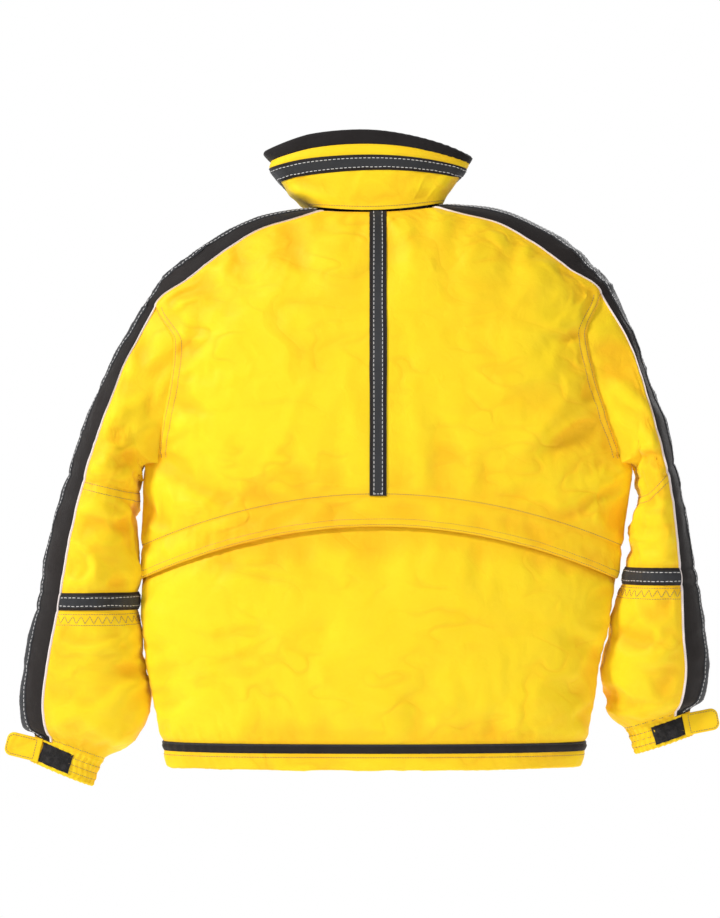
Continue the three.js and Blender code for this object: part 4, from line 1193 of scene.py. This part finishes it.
def panel(name, surface, rows, columns, high, thick, material, goes, replaced, edges=(), cell=5, cut=False):
    """A cloth panel. high is a height or a function of the rows and columns."""
    r1 = edged_rows(surface, rows[0], rows[1], cell, edges)
    around = surface.closed and columns[1] - columns[0] == SLEEVE_COLUMNS
    if surface.closed:
        n = round((columns[1] - columns[0]) * 6)
        c1 = np.linspace(columns[0], columns[1], n + 1)
        c1 = c1[:-1] if around else c1
    else:
        c1 = body_columns(columns[0], columns[1], edges)
    r, c = np.meshgrid(r1, c1, indexing="ij")
    top = high(r, c) if callable(high) else np.full(r.shape, float(high))
    draw = rolled(surface, r, c, edges, thick)
    keep = beside_armhole(r1, c1) if cut else None
    return slab(name, surface, r, c, top - draw, top - thick + draw, material, goes, replaced, keep, around)


# ---- Body ----

TORSO = "torso"
BACK_COLUMNS = (SIDE["left"], SIDE["right"])
LEFT_FRONT, RIGHT_FRONT = (0, SIDE["left"]), (SIDE["right"], COLUMNS)


def flap_height(r, c):
    return 0.2 + 3.2 * ease((r - YOKE) / (FLAP - YOKE)) ** 1.3


def below_flap(r, c):
    """The lower back runs up under the flap, and comes out from beneath it."""
    d = body.read(body.down, r, c) - body.read(body.down, np.full_like(r, FLAP), c)
    return -3.8 * np.exp(-np.maximum(d, 0) / 11)


shells = [
    panel("back_yoke_shell", body, (0, YOKE), BACK_COLUMNS, 0, SHELL, "yellow", TORSO,
          ["upper_back_panel"], cut=True),
    panel("vent_flap_shell", body, (YOKE, FLAP), BACK_COLUMNS, flap_height, 3.6, "yellow", TORSO,
          ["back_vent_flap"], edges=("end",)),
    panel("lower_back_shell", body, (FLAP - 0.35, HEM_STRIPE), BACK_COLUMNS, below_flap, SHELL, "yellow",
          TORSO, ["lower_back_panel"]),
    panel("front_shell_left", body, (0, HEM_STRIPE), LEFT_FRONT, 0, SHELL, "yellow", TORSO,
          ["front_panel_left"], edges=("left",), cut=True),
    panel("front_shell_right", body, (0, HEM_STRIPE), RIGHT_FRONT, 0, SHELL, "yellow", TORSO,
          ["front_panel_right"], edges=("right",), cut=True),
    panel("hem_strip_shell", body, (HEM_STRIP, HEM), (0, COLUMNS), 0.3, SHELL + 1, "yellow", TORSO,
          ["hem_strip"], edges=("end", "left", "right"), cell=4),
]
panel("hem_stripe_cloth", body, (HEM_STRIPE, HEM_STRIP), (0, COLUMNS), 0.6, SHELL, "black", TORSO,
      ["hem_stripe"], cell=4)
strip("hem_stripe_edging", body, HEM_STRIPE, (0.1, COLUMNS - 0.1), "rows", (0.2, 0.7, 2.4, 2.9),
      (0.7, 1.3, 1.3, 0.7), 0.2, "ribbon", TORSO)

# The ribbon lies just behind the outermost line of the shoulder and the sleeve.
RIBBON_LINES = SLEEVE_RIBBON_START + np.array([0, 0.5, 5, 10, 16, 20.5, SLEEVE_RIBBON_WIDTH])
RIBBON_HEIGHTS = (0.5, 1.3, 1.4, 1.4, 1.4, 1.3, 0.5)
RIBBON_STITCHES = (SLEEVE_RIBBON_START + 2.6, SLEEVE_RIBBON_START + SLEEVE_RIBBON_WIDTH - 2.6)

for side in SIDES:
    edges = sorted((FRONT_EDGE[side], BACK_EDGE[side]))
    shells.append(panel(f"shoulder_yoke_{side}", body, (0, SHOULDER), edges, 0.2, SHELL, "black", TORSO,
                        [f"shoulder_panel_{side}"]))
    strip(f"shoulder_ribbon_{side}_tape", body, (0.02, SHOULDER), SIDE[side], "columns",
          [-SIGN[side] * v for v in RIBBON_LINES], RIBBON_HEIGHTS, 0.1, "ribbon", TORSO,
          [f"shoulder_ribbon_{side}"])
    for place, edge in (("back", BACK_EDGE[side]), ("front", FRONT_EDGE[side])):
        strip(f"shoulder_piping_{side}_{place}", body, (0.02, SHOULDER), edge, "columns",
              (-1.7, -1.3, -0.6, 0.3, 1.1, 1.7), (0.2, 1.3, 2.1, 2.2, 1.4, 0.2), -0.6, "piping", TORSO,
              [f"shoulder_piping_{side}"] if place == "back" else ())

BACK = COLUMNS / 2
half = BACK_BAND_WIDTH / 2
strip("centre_back_band_cloth", body, (0, YOKE - 0.02), BACK, "columns",
      (-half, -half + 0.5, -6, 0, 6, half - 0.5, half), (0.4, 1.4, 1.5, 1.5, 1.5, 1.4, 0.4), 0.1, "black",
      TORSO, ["centre_back_band"])
half = BACK_RIBBON_WIDTH / 2
strip("centre_back_ribbon_tape", body, (0, YOKE - 0.03), BACK, "columns",
      (-half, -half + 0.4, 0, half - 0.4, half), (1.5, 2.2, 2.3, 2.2, 1.5), 1.2, "ribbon", TORSO,
      ["centre_back_ribbon"])

# ---- Collar ----


def facing_height(r, c):
    return -5.6 + 6.4 * ease((r - FACING + 0.12) / 0.12)


shells.append(panel("collar_outer", collar, (0, FACING), (0, COLUMNS), 0, 5.2, "yellow", TORSO,
                    ["collar_shell"], edges=("left", "right"), cell=3))
panel("collar_facing_cloth", collar, (0, COLLAR_TOP), (0, COLUMNS), facing_height, 9.0, "facing", TORSO,
      ["collar_facing"], edges=("end", "left", "right"), cell=2.5)
MIDDLE_BAND = (BAND_LOW + BAND_TOP) / 2
strip("collar_band_cloth", collar, MIDDLE_BAND, (0.15, COLUMNS - 0.15), "rows",
      (-10, -9.5, -6, 0, 6, 9.5, 10), (0.4, 1.3, 1.4, 1.4, 1.4, 1.3, 0.4), 0.0, "black", TORSO,
      ["collar_band"])
strip("collar_ribbon_tape", collar, MIDDLE_BAND, (0.2, COLUMNS - 0.2), "rows",
      (-6.6, -6.2, 0, 6.2, 6.6), (1.4, 2.1, 2.2, 2.1, 1.4), 1.0, "ribbon", TORSO, ["collar_ribbon"])

# ---- Lining and pocket bags ----

LINING_ROWS = (0.2, HEM - 0.05)
linings = []
for name, columns, height, hung_from in (
    ("back", BACK_COLUMNS, -LINING_DEPTH, "back_yoke_shell"),
    ("front_left", LEFT_FRONT, -LINING_DEPTH - 3, "front_shell_left"),
    ("front_right", RIGHT_FRONT, -LINING_DEPTH - 3, "front_shell_right"),
):
    piece = panel(f"{name}_lining_cloth", body, LINING_ROWS, columns, height, 1.2, "lining", TORSO,
                  [f"lining_{name}"], cell=9, cut=True)
    linings.append((piece, body, LINING_ROWS, columns, hung_from))


def pocket_line(side, r):
    start = 0 if side == "left" else COLUMNS
    return body.walk_across(r, float(start), -SIGN[side] * (POCKET_X - ZIP_HALF_GAP))


for side in SIDES:
    rows = row_lines(body, FLAP, FLAP + 3, 6)
    middle = pocket_line(side, rows)
    bag = np.linspace(-64, 64, 17)
    r = np.repeat(rows[:, None], len(bag), axis=1)
    c = body.walk_across(r, middle[:, None], bag[None, :])
    shells.append(slab(f"pocket_bag_{side}_cloth", body, r, c, -9.3, -12.2, "lining", TORSO,
                       [f"pocket_bag_{side}"]))
    tape = np.array([-7, -6.6, -3, -2.2, 2.2, 3, 6.6, 7])
    r = np.repeat(rows[:, None], len(tape), axis=1)
    c = body.walk_across(r, middle[:, None], tape[None, :])
    slab(f"pocket_zip_{side}_tape", body, r, c, [0.5, 1.2, 1.3, 0.9, 0.9, 1.3, 1.2, 0.5], -0.2, "tape", TORSO,
         [f"pocket_zip_{side}"])
    fine = np.linspace(FLAP + 0.02, FLAP + 2.98, 340)
    mid = np.interp(fine, rows, middle)
    coil = body.walk_across(fine, mid, np.where(np.arange(340) % 2 == 0, -1.5, 1.5))
    run = stitches(body, fine, coil, 1.3, pitch=3.3, fill=0.95, width=0.9, lift=0.5)
    sew(f"pocket_zip_{side}_coil", [run], "teeth", TORSO)

# ---- Sleeves ----

for side in SIDES:
    s = sleeves[side]
    wide = (2, SLEEVE_COLUMNS - 2)
    shells += [
        panel(f"upper_sleeve_{side}_shell", s, (0, ELBOW), wide, 0, SHELL, "yellow", side,
              [f"upper_sleeve_{side}"]),
        panel(f"lower_sleeve_{side}_shell", s, (ELBOW, CUFF), wide, 0, SHELL, "yellow", side,
              [f"lower_sleeve_{side}"]),
        panel(f"outer_sleeve_{side}_shell", s, (0, CUFF), (-2, 2), 0.2, SHELL, "black", side,
              [f"sleeve_panel_{side}"]),
        panel(f"cuff_{side}_gathered", s, (CUFF, CUFF_END), (0, SLEEVE_COLUMNS), 0.4, SHELL, "yellow", side,
              [f"cuff_elastic_{side}"], edges=("end",), cell=2.5),
    ]
    rows, columns = (ELBOW + 0.5, CUFF - 0.6), (0, SLEEVE_COLUMNS)
    piece = panel(f"sleeve_lining_{side}_cloth", s, rows, columns, -LINING_DEPTH, 1.2, "lining", side,
                  [f"sleeve_lining_{side}"], cell=9)
    linings.append((piece, s, rows, columns, f"lower_sleeve_{side}_shell"))
    strip(f"sleeve_ribbon_{side}_tape", s, (0, CUFF - 0.12), 0, "columns", RIBBON_LINES, RIBBON_HEIGHTS,
          0.1, "ribbon", side, [f"sleeve_ribbon_{side}"])
    for place, column in (("back", 2), ("front", 14)):
        flip = 1 if place == "back" else -1
        strip(f"sleeve_piping_{side}_{place}", s, (0, CUFF - 0.05), column, "columns",
              [flip * v for v in (-1.7, -1.3, -0.6, 0.3, 1.1, 1.7)][::flip],
              (0.2, 1.3, 2.1, 2.2, 1.4, 0.2)[::flip], -0.6, "piping", side,
              [f"sleeve_piping_{side}"] if place == "back" else ())
    band = (2.08, SLEEVE_COLUMNS - 2.08)
    middle = (FOREARM + FOREARM_END) / 2
    strip(f"forearm_band_{side}_cloth", s, middle, band, "rows", (-11.5, -11, -6, 0, 6, 11, 11.5),
          (0.4, 1.4, 1.5, 1.5, 1.5, 1.4, 0.4), 0.0, "black", side, [f"forearm_band_{side}"])
    strip(f"forearm_ribbon_{side}_tape", s, middle, band, "rows", (-7.6, -7.2, 0, 7.2, 7.6),
          (1.4, 2.1, 2.2, 2.1, 1.4), 1.1, "ribbon", side)

    start = s.walk_across(np.array([CUFF + 0.5]), 1.5, 0.0)[0]
    columns = s.walk_across(np.full(9, CUFF + 0.5), start, np.linspace(0, CUFF_PATCH_LENGTH, 9))
    r, c = np.meshgrid(np.linspace(CUFF + 0.12, CUFF + 0.88, 7), columns, indexing="ij")
    slab(f"cuff_patch_{side}_hooks", s, r, c, 2.5 - rolled(s, r, c, ("start", "end", "left", "right"), 2.0),
         0.4, "hook", side, [f"cuff_patch_{side}"])

# For each lining piece, the width and the cell areas of the smooth body or sleeve there are measured; the
# pieces are left as they are.
for obj, surface, rows, columns, hung_from in linings:
    i = [int(round(float(surface.row(r)))) for r in rows]
    j = [int(round(c * surface.cells)) for c in columns]
    width = (surface.across[i[0] : i[1], j[1]] - surface.across[i[0] : i[1], j[0]]).max() * MM
    cut = surface.cut
    if surface.closed:
        cut = np.concatenate([cut, cut[:, :1]], axis=1)
    cut = cut[i[0] : i[1] + 1, j[0] : j[1] + 1]
    down, right = np.diff(cut, axis=0)[:, :-1], np.diff(cut, axis=1)[:-1]
    cells = np.linalg.norm(np.cross(down, right), axis=2) * MM**2
    if not surface.closed:
        r, c = surface.grid()
        r, c = (v[i[0] : i[1], j[0] : j[1]] for v in (r, c))
        cells = cells * ~(under_sleeve(c) & (r < UNDERARM))

# ---- Stitching ----

PAIR = (-5.2, 5.2)
runs = []
for side in SIDES:
    for offset in RIBBON_STITCHES:
        offset *= -SIGN[side]
        runs.append(stitches(body, *beside_column(body, (0.05, SHOULDER), SIDE[side], offset), 1.45))
for offset in (-5.4, 5.4):
    runs.append(stitches(body, *beside_column(body, (0.05, YOKE - 0.05), BACK, offset), 2.25))
for offset in PAIR:
    runs.append(stitches(collar, *beside_row(collar, MIDDLE_BAND, (0.3, COLUMNS - 0.3), offset), 2.15))
cross = body.walk_across(np.full(9, YOKE - 0.12), BACK, np.linspace(-6, 6, 9))
runs.append(stitches(body, np.full(9, YOKE - 0.12), cross, 2.25, pitch=3))
sew("torso_ribbon_stitching", runs, "white_thread", TORSO)

TOP = dict(pitch=3.4, fill=0.72, width=0.75, lift=0.35)
inner = (SIDE["left"] + 0.05, SIDE["right"] - 0.05)
runs = [
    stitches(body, *beside_row(body, YOKE, inner, -3.0), 0.1, **TOP),
    stitches(body, *beside_row(body, FLAP, inner, -3.0), 3.2, **TOP),
    stitches(body, *beside_row(body, FLAP, inner, -9.5), 2.7, **TOP),
    stitches(body, *beside_row(body, HEM_STRIP, (0.2, COLUMNS - 0.2), 5.0), 0.4, **TOP),
    stitches(collar, *beside_row(collar, 0, (0.2, COLUMNS - 0.2), 4.5), 0.1, **TOP),
]
for column, offset in ((0, 6.5), (COLUMNS, -6.5)):
    runs.append(stitches(body, *beside_column(body, (0.1, HEM_STRIPE - 0.05), column, offset), 0.1, **TOP))
for side in SIDES:
    for edge, out in ((BACK_EDGE[side], 1), (FRONT_EDGE[side], -1)):
        away = out * -SIGN[side]
        for offset in (4, 12):
            r, c = beside_column(body, (SHOULDER + 0.02, UNDERARM - 0.1), edge, away * offset)
            runs.append(stitches(body, r, c, 0.1, **TOP))
    for offset in (-9.5, 9.5):
        r = np.linspace(FLAP + 0.03, FLAP + 2.97, 30)
        runs.append(stitches(body, r, body.walk_across(r, pocket_line(side, r), offset), 0.1, **TOP))
sew("torso_topstitching", runs, "mauve_thread", TORSO)

for side in SIDES:
    s = sleeves[side]
    runs = []
    for offset in RIBBON_STITCHES:
        runs.append(stitches(s, *beside_column(s, (0.02, CUFF - 0.15), 0, offset), 1.45))
    band = (2.12, SLEEVE_COLUMNS - 2.12)
    for offset in PAIR:
        runs.append(stitches(s, *beside_row(s, (FOREARM + FOREARM_END) / 2, band, offset), 2.15))
    sew(f"sleeve_{side}_ribbon_stitching", runs, "white_thread", side)
    runs = []
    for row, offset in ((ELBOW, 3), (ELBOW, 12), (FOREARM_END, 5), (FOREARM_END, 19), (CUFF, -5)):
        runs.append(stitches(s, *beside_row(s, row, band, offset), 0.1, **TOP))
    runs.append(stitches(s, *zigzag(s, FOREARM_END, band, 7, 10, 11), 0.15, pitch=3.0, fill=0.85,
                         width=0.75, lift=0.35))
    for row in (CUFF + 0.25, CUFF + 0.5, CUFF + 0.75):
        c = np.linspace(3.5, SLEEVE_COLUMNS - 0.5, 60)
        runs.append(stitches(s, np.full(60, row), c, 0.5, **TOP))
    sew(f"sleeve_{side}_topstitching", runs, "mauve_thread", side)

# ---- Cuff tabs ----

for side in SIDES:
    sign = SIGN[side]
    ox, oz, ix, iz, deep, cy = SLEEVE_RINGS[side][CUFF]
    ex, ez = SLEEVE_RINGS[side][CUFF_END][:2]
    reach = math.hypot(ox - ix, oz - iz) / 2
    down = np.array([sign * (ex - ox), 0, ez - oz], float)
    width = np.linalg.norm(down) - 2 * TAB_MARGIN
    down = unit(down)
    out = np.array([-sign * down[2], 0, sign * down[0]])
    back = cy - deep * math.sqrt(1 - ((reach - TAB_INSET) / reach) ** 2)
    low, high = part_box(f"cuff_tab_{side}")
    origin = np.array([sign * ox, (low[1] + high[1]) / 2 / MM, oz]) - out * TAB_INSET + down * TAB_MARGIN
    facing = np.cross(out, down)
    outline = rounded_outline(width, TAB_LENGTH, TAB_ROUND)
    points, faces = cushion_plate(outline, 3.0, 0.9)
    tab = make(f"cuff_tab_{side}_cloth", placed(points, origin, out, down, facing), faces, "yellow",
               f"tab_{side}", [f"cuff_tab_{side}"])
    middle = outline.mean(axis=0)
    inside = middle + (outline - middle) * 0.8
    line = np.vstack([inside, inside[:1]])
    towards_back = -1 if facing[1] > 0 else 1
    line = placed(np.column_stack([line, np.full(len(line), towards_back * 1.9)]), origin, out, down, facing)
    q = np.concatenate([[0], np.cumsum(np.linalg.norm(np.diff(line, axis=0), axis=1))])
    fine = np.linspace(0, q[-1], 140)
    line = np.stack([np.interp(fine, q, line[:, k]) for k in range(3)], axis=-1)
    normal = np.tile([0.0, -1.0, 0.0], (len(line), 1))
    sew(f"cuff_tab_{side}_stitching", [stitch_line(line, normal, fine, **TOP)], "mauve_thread", f"tab_{side}")

# ---- Main zip ----


def box_of(node):
    low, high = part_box(node)
    return np.array(low) / MM, np.array(high) / MM


for side in SIDES:
    low, high = box_of(f"zip_teeth_{side}")
    mid = (low + high) / 2
    pitch = 2.9
    count = int((high[2] - low[2]) / pitch)
    points, faces = [], []
    sign = SIGN[side]
    for k in range(count):
        z = low[2] + (k + 0.5 + (0.25 if sign > 0 else -0.25)) * (high[2] - low[2]) / count
        inner, outer = mid[0] - sign * 1.7, mid[0] + sign * 1.5
        first = len(points)
        for x, dy, dz in ((inner, 0.8, 0.45), (mid[0] - sign * 0.6, 1.5, 0.95), (outer, 1.5, 0.8)):
            points += [[x, mid[1] + sy * dy, z + sz * dz] for sy, sz in ((-1, -1), (1, -1), (1, 1), (-1, 1))]
        for s in range(2):
            for t in range(4):
                a, b = first + 4 * s + t, first + 4 * s + (t + 1) % 4
                face = [a, b, b + 4, a + 4]
                faces.append(face if sign > 0 else face[::-1])
        caps = [[first + 3, first + 2, first + 1, first], [first + 8, first + 9, first + 10, first + 11]]
        faces += caps if sign > 0 else [f[::-1] for f in caps]
    make(f"zip_teeth_{side}_row", points, faces, "teeth", TORSO, [f"zip_teeth_{side}"], sharp=30)
    low, high = box_of(f"zip_tape_{side}")
    edge = sorted((low[0], high[0]), key=abs)
    profile = np.array([
        (edge[0] - sign * 0.6, 0.9), (edge[0] + sign * 0.2, 1.3), (edge[0] + sign * 1.2, 0.9),
        (edge[0] + sign * 2.2, 0.5), (edge[1] + sign * 5, 0.4),
    ])
    zs = np.linspace(low[2], high[2], 120)
    y = (low[1] + high[1]) / 2
    front = np.array([[[x, y + h, z] for x, h in profile] for z in zs])
    rear = np.array([[[x, y - h, z] for x, h in profile] for z in zs])
    pts = np.concatenate([front.reshape(-1, 3), rear.reshape(-1, 3)])
    pts, quads, used = outwards(pts, solid_faces(len(zs), len(profile)))
    info = np.column_stack([pts[:, 0], pts[:, 2], 0 * pts[:, 0]])
    make(f"zip_tape_{side}_cloth", pts, quads.tolist(), "tape", TORSO, [f"zip_tape_{side}"], info)


def plate_piece(name, node, outline, thick, puff, material, goes, turn=0.0, extra=()):
    """A small rounded plate in the place of a CAD node, upright, facing forwards and turned about Z."""
    low, high = box_of(node)
    mid = (low + high) / 2
    x = np.array([math.cos(turn), math.sin(turn), 0])
    z = np.array([0, 0, 1.0])
    face = np.cross(x, z)
    points, faces = cushion_plate(outline, thick, puff, inset=0.8)
    points = placed(points - np.array([*outline.mean(axis=0), 0]), mid, z, x, -face)
    points, faces = list(points), list(faces)
    for part, part_faces in extra:
        count = len(points)
        points += list(placed(part, mid, z, x, -face))
        faces += [[v + count for v in f] for f in part_faces]
    return make(name, points, faces, material, goes, [node])


def slider_outline(long, wide, narrow):
    half = long / 2
    return np.array([
        (half, wide / 2 - 1), (half - 1, wide / 2), (half * 0.2, wide / 2), (-half * 0.5, narrow / 2),
        (-half + 0.8, narrow / 2), (-half, narrow / 2 - 0.8), (-half, -narrow / 2 + 0.8),
        (-half + 0.8, -narrow / 2), (-half * 0.5, -narrow / 2), (half * 0.2, -wide / 2),
        (half - 1, -wide / 2), (half, -wide / 2 + 1),
    ])[::-1]


def arch(length, rise, base, radius):
    t = np.linspace(0, math.pi, 12)
    line = np.column_stack([-length / 2 * np.cos(t), 0 * t, base + rise * np.sin(t)])
    return tube(line, radius)


low, high = box_of("zip_slider")
half_depth = (high[1] - low[1]) / 2
front = cushion_plate(slider_outline(15, 11, 8), 1.6, 0.3, inset=0.8)
slider_mid = (low + high) / 2
points, faces = [], []
for part, part_faces in (
    (front[0] + [0, 0, half_depth - 1.0], front[1]),
    (front[0] - [0, 0, half_depth - 1.0], front[1]),
    arch(9, 2.4, half_depth - 0.6, 0.8),
    (cushion_plate(slider_outline(5, 1.2, 0.5), half_depth * 2 - 2.2, 0, inset=0.2)),
):
    count = len(points)
    points += list(placed(part, slider_mid, (0, 0, 1), (1, 0, 0), (0, 1, 0)))
    faces += [[v + count for v in f] for f in part_faces]
make("zip_slider_body", points, faces, "metal", "zip_slider", ["zip_slider"], sharp=35)

low, high = box_of("zip_pull")
outline = rounded_outline(7, high[2] - low[2], 2.6, both=True)
plate_piece("zip_pull_tab", "zip_pull", outline, 1.7, 0.25, "cord", "zip_pull")
low, high = box_of("zip_box")
plate_piece("zip_box_body", "zip_box", slider_outline(high[2] - low[2], 10, 9), 5.6, 0.2, "metal", TORSO)

for side in SIDES:
    node = f"pocket_slider_{side}"
    low, high = box_of(node)
    wide, deep = high[0] - low[0], high[1] - low[1]
    turn = SIGN[side] * math.radians(-8)
    plate_piece(f"{node}_body", node, slider_outline(13, 9, 6.5), 2.2, 0.15, "metal", f"pocket_slider_{side}",
                turn, [arch(7, 1.0, 0.5, 0.5)])
    node = f"pocket_pull_{side}"
    low, high = box_of(node)
    plate_piece(f"{node}_tab", node, rounded_outline(6, high[2] - low[2], 2.4, both=True), 1.5, 0.2, "cord",
                f"pocket_pull_{side}", turn)

# ---- Hanger loop ----

low, high = box_of("hanger_loop")
ends, front = (high[0] - low[0]) / 2 - 1, high[1]
knots = np.array([
    (-ends, -8.6, 1), (-ends * 0.8, -3.5, 1.5), (-ends * 0.4, 3, 2.5), (0, 4, 3),
    (ends * 0.4, 3, 2.5), (ends * 0.8, -3.5, 1.5), (ends, -8.6, 1),
])
arc = np.concatenate([[0], np.cumsum(np.linalg.norm(np.diff(knots, axis=0), axis=1))])
line = smooth_rows(arc, knots[:, None, :], np.linspace(0, arc[-1], 49))[:, 0]
ahead = unit(np.gradient(line, axis=0))
across = unit(np.cross(ahead, [0, 0, 1.0]))
up = np.cross(across, ahead)
section = [(-3, 0.35), (-2.6, 0.7), (2.6, 0.7), (3, 0.35)]
front = np.stack([line + up * w + across * h for w, h in section], axis=1)
rear = np.stack([line + up * w - across * h for w, h in section], axis=1)
pts = np.concatenate([front.reshape(-1, 3), rear.reshape(-1, 3)])
pts, quads, used = outwards(pts, solid_faces(len(line), 4))
make("hanger_loop_tape", pts, quads.tolist(), "tape", TORSO, ["hanger_loop"],
     np.column_stack([pts[:, 0], pts[:, 2], 0 * pts[:, 0]]))

# ---- Floor, light and camera ----

VIEW_X, VIEW_Z, VIEW_HEIGHT, DISTANCE = -0.0232, -0.3212, 1.1842, 5.0
low, high = (Vector(v) for v in CAD_BOX)


def stage_plane(name, size, z, colour):
    mesh = bpy.data.meshes.new(name)
    h = size / 2
    mesh.from_pydata([(-h, -h, z), (h, -h, z), (h, h, z), (-h, h, z)], [], [(0, 1, 2, 3)])
    n = Nodes(name)
    grain = n.noise(n.add("TexCoord").outputs["Object"], 6.0, 2.0)
    n.wire(Base_Color=n.mix(grain, colour, tuple(v * 0.985 for v in colour[:3]) + (1,)), Roughness=0.9)
    n.wire(Specular_IOR_Level=0.0, Emission_Color=colour, Emission_Strength=0.3)
    mesh.materials.append(n.material)
    obj = bpy.data.objects.new(name, mesh)
    bpy.context.scene.collection.objects.link(obj)


stage_plane("studio_floor", 7, low[2] - 0.6, (0.95, 0.95, 0.95, 1))

world = bpy.data.worlds.new("studio")
world.use_nodes = True
room = world.node_tree.nodes["Background"]
room.inputs[0].default_value = (1, 1, 1, 1)
room.inputs[1].default_value = 0.34
backdrop = world.node_tree.nodes.new("ShaderNodeBackground")
backdrop.inputs[0].default_value = (1, 1, 1, 1)
backdrop.inputs[1].default_value = 1.0
seen = world.node_tree.nodes.new("ShaderNodeLightPath")
both = world.node_tree.nodes.new("ShaderNodeMixShader")
world.node_tree.links.new(seen.outputs[0], both.inputs[0])
world.node_tree.links.new(room.outputs[0], both.inputs[1])
world.node_tree.links.new(backdrop.outputs[0], both.inputs[2])
world.node_tree.links.new(both.outputs[0], world.node_tree.nodes["World Output"].inputs[0])
bpy.context.scene.world = world


def area_light(name, place, target, size, power):
    data = bpy.data.lights.new(name, "AREA")
    data.shape = "DISK"
    data.size = size
    data.energy = power
    obj = bpy.data.objects.new(name, data)
    obj.location = place
    obj.rotation_euler = (Vector(target) - Vector(place)).to_track_quat("-Z", "Y").to_euler()
    bpy.context.scene.collection.objects.link(obj)


centre = (0, 0, VIEW_Z)
area_light("key_light", (-2.6, -1.7, 1.7), centre, 0.6, 112)
area_light("fill_light", (2.6, -2.8, 0.2), centre, 1.6, 20)
area_light("rear_light", (1.6, 2.8, 1.5), centre, 0.9, 90)

camera = bpy.data.cameras.new("camera")
camera.lens = camera.sensor_width * DISTANCE / VIEW_HEIGHT
view = bpy.data.objects.new("camera", camera)
view.location = (VIEW_X, -DISTANCE + low[1] / 2, VIEW_Z)
view.rotation_euler = (math.radians(90), 0, 0)
bpy.context.scene.collection.objects.link(view)
bpy.context.scene.camera = view
bpy.context.scene.view_settings.view_transform = "Standard"
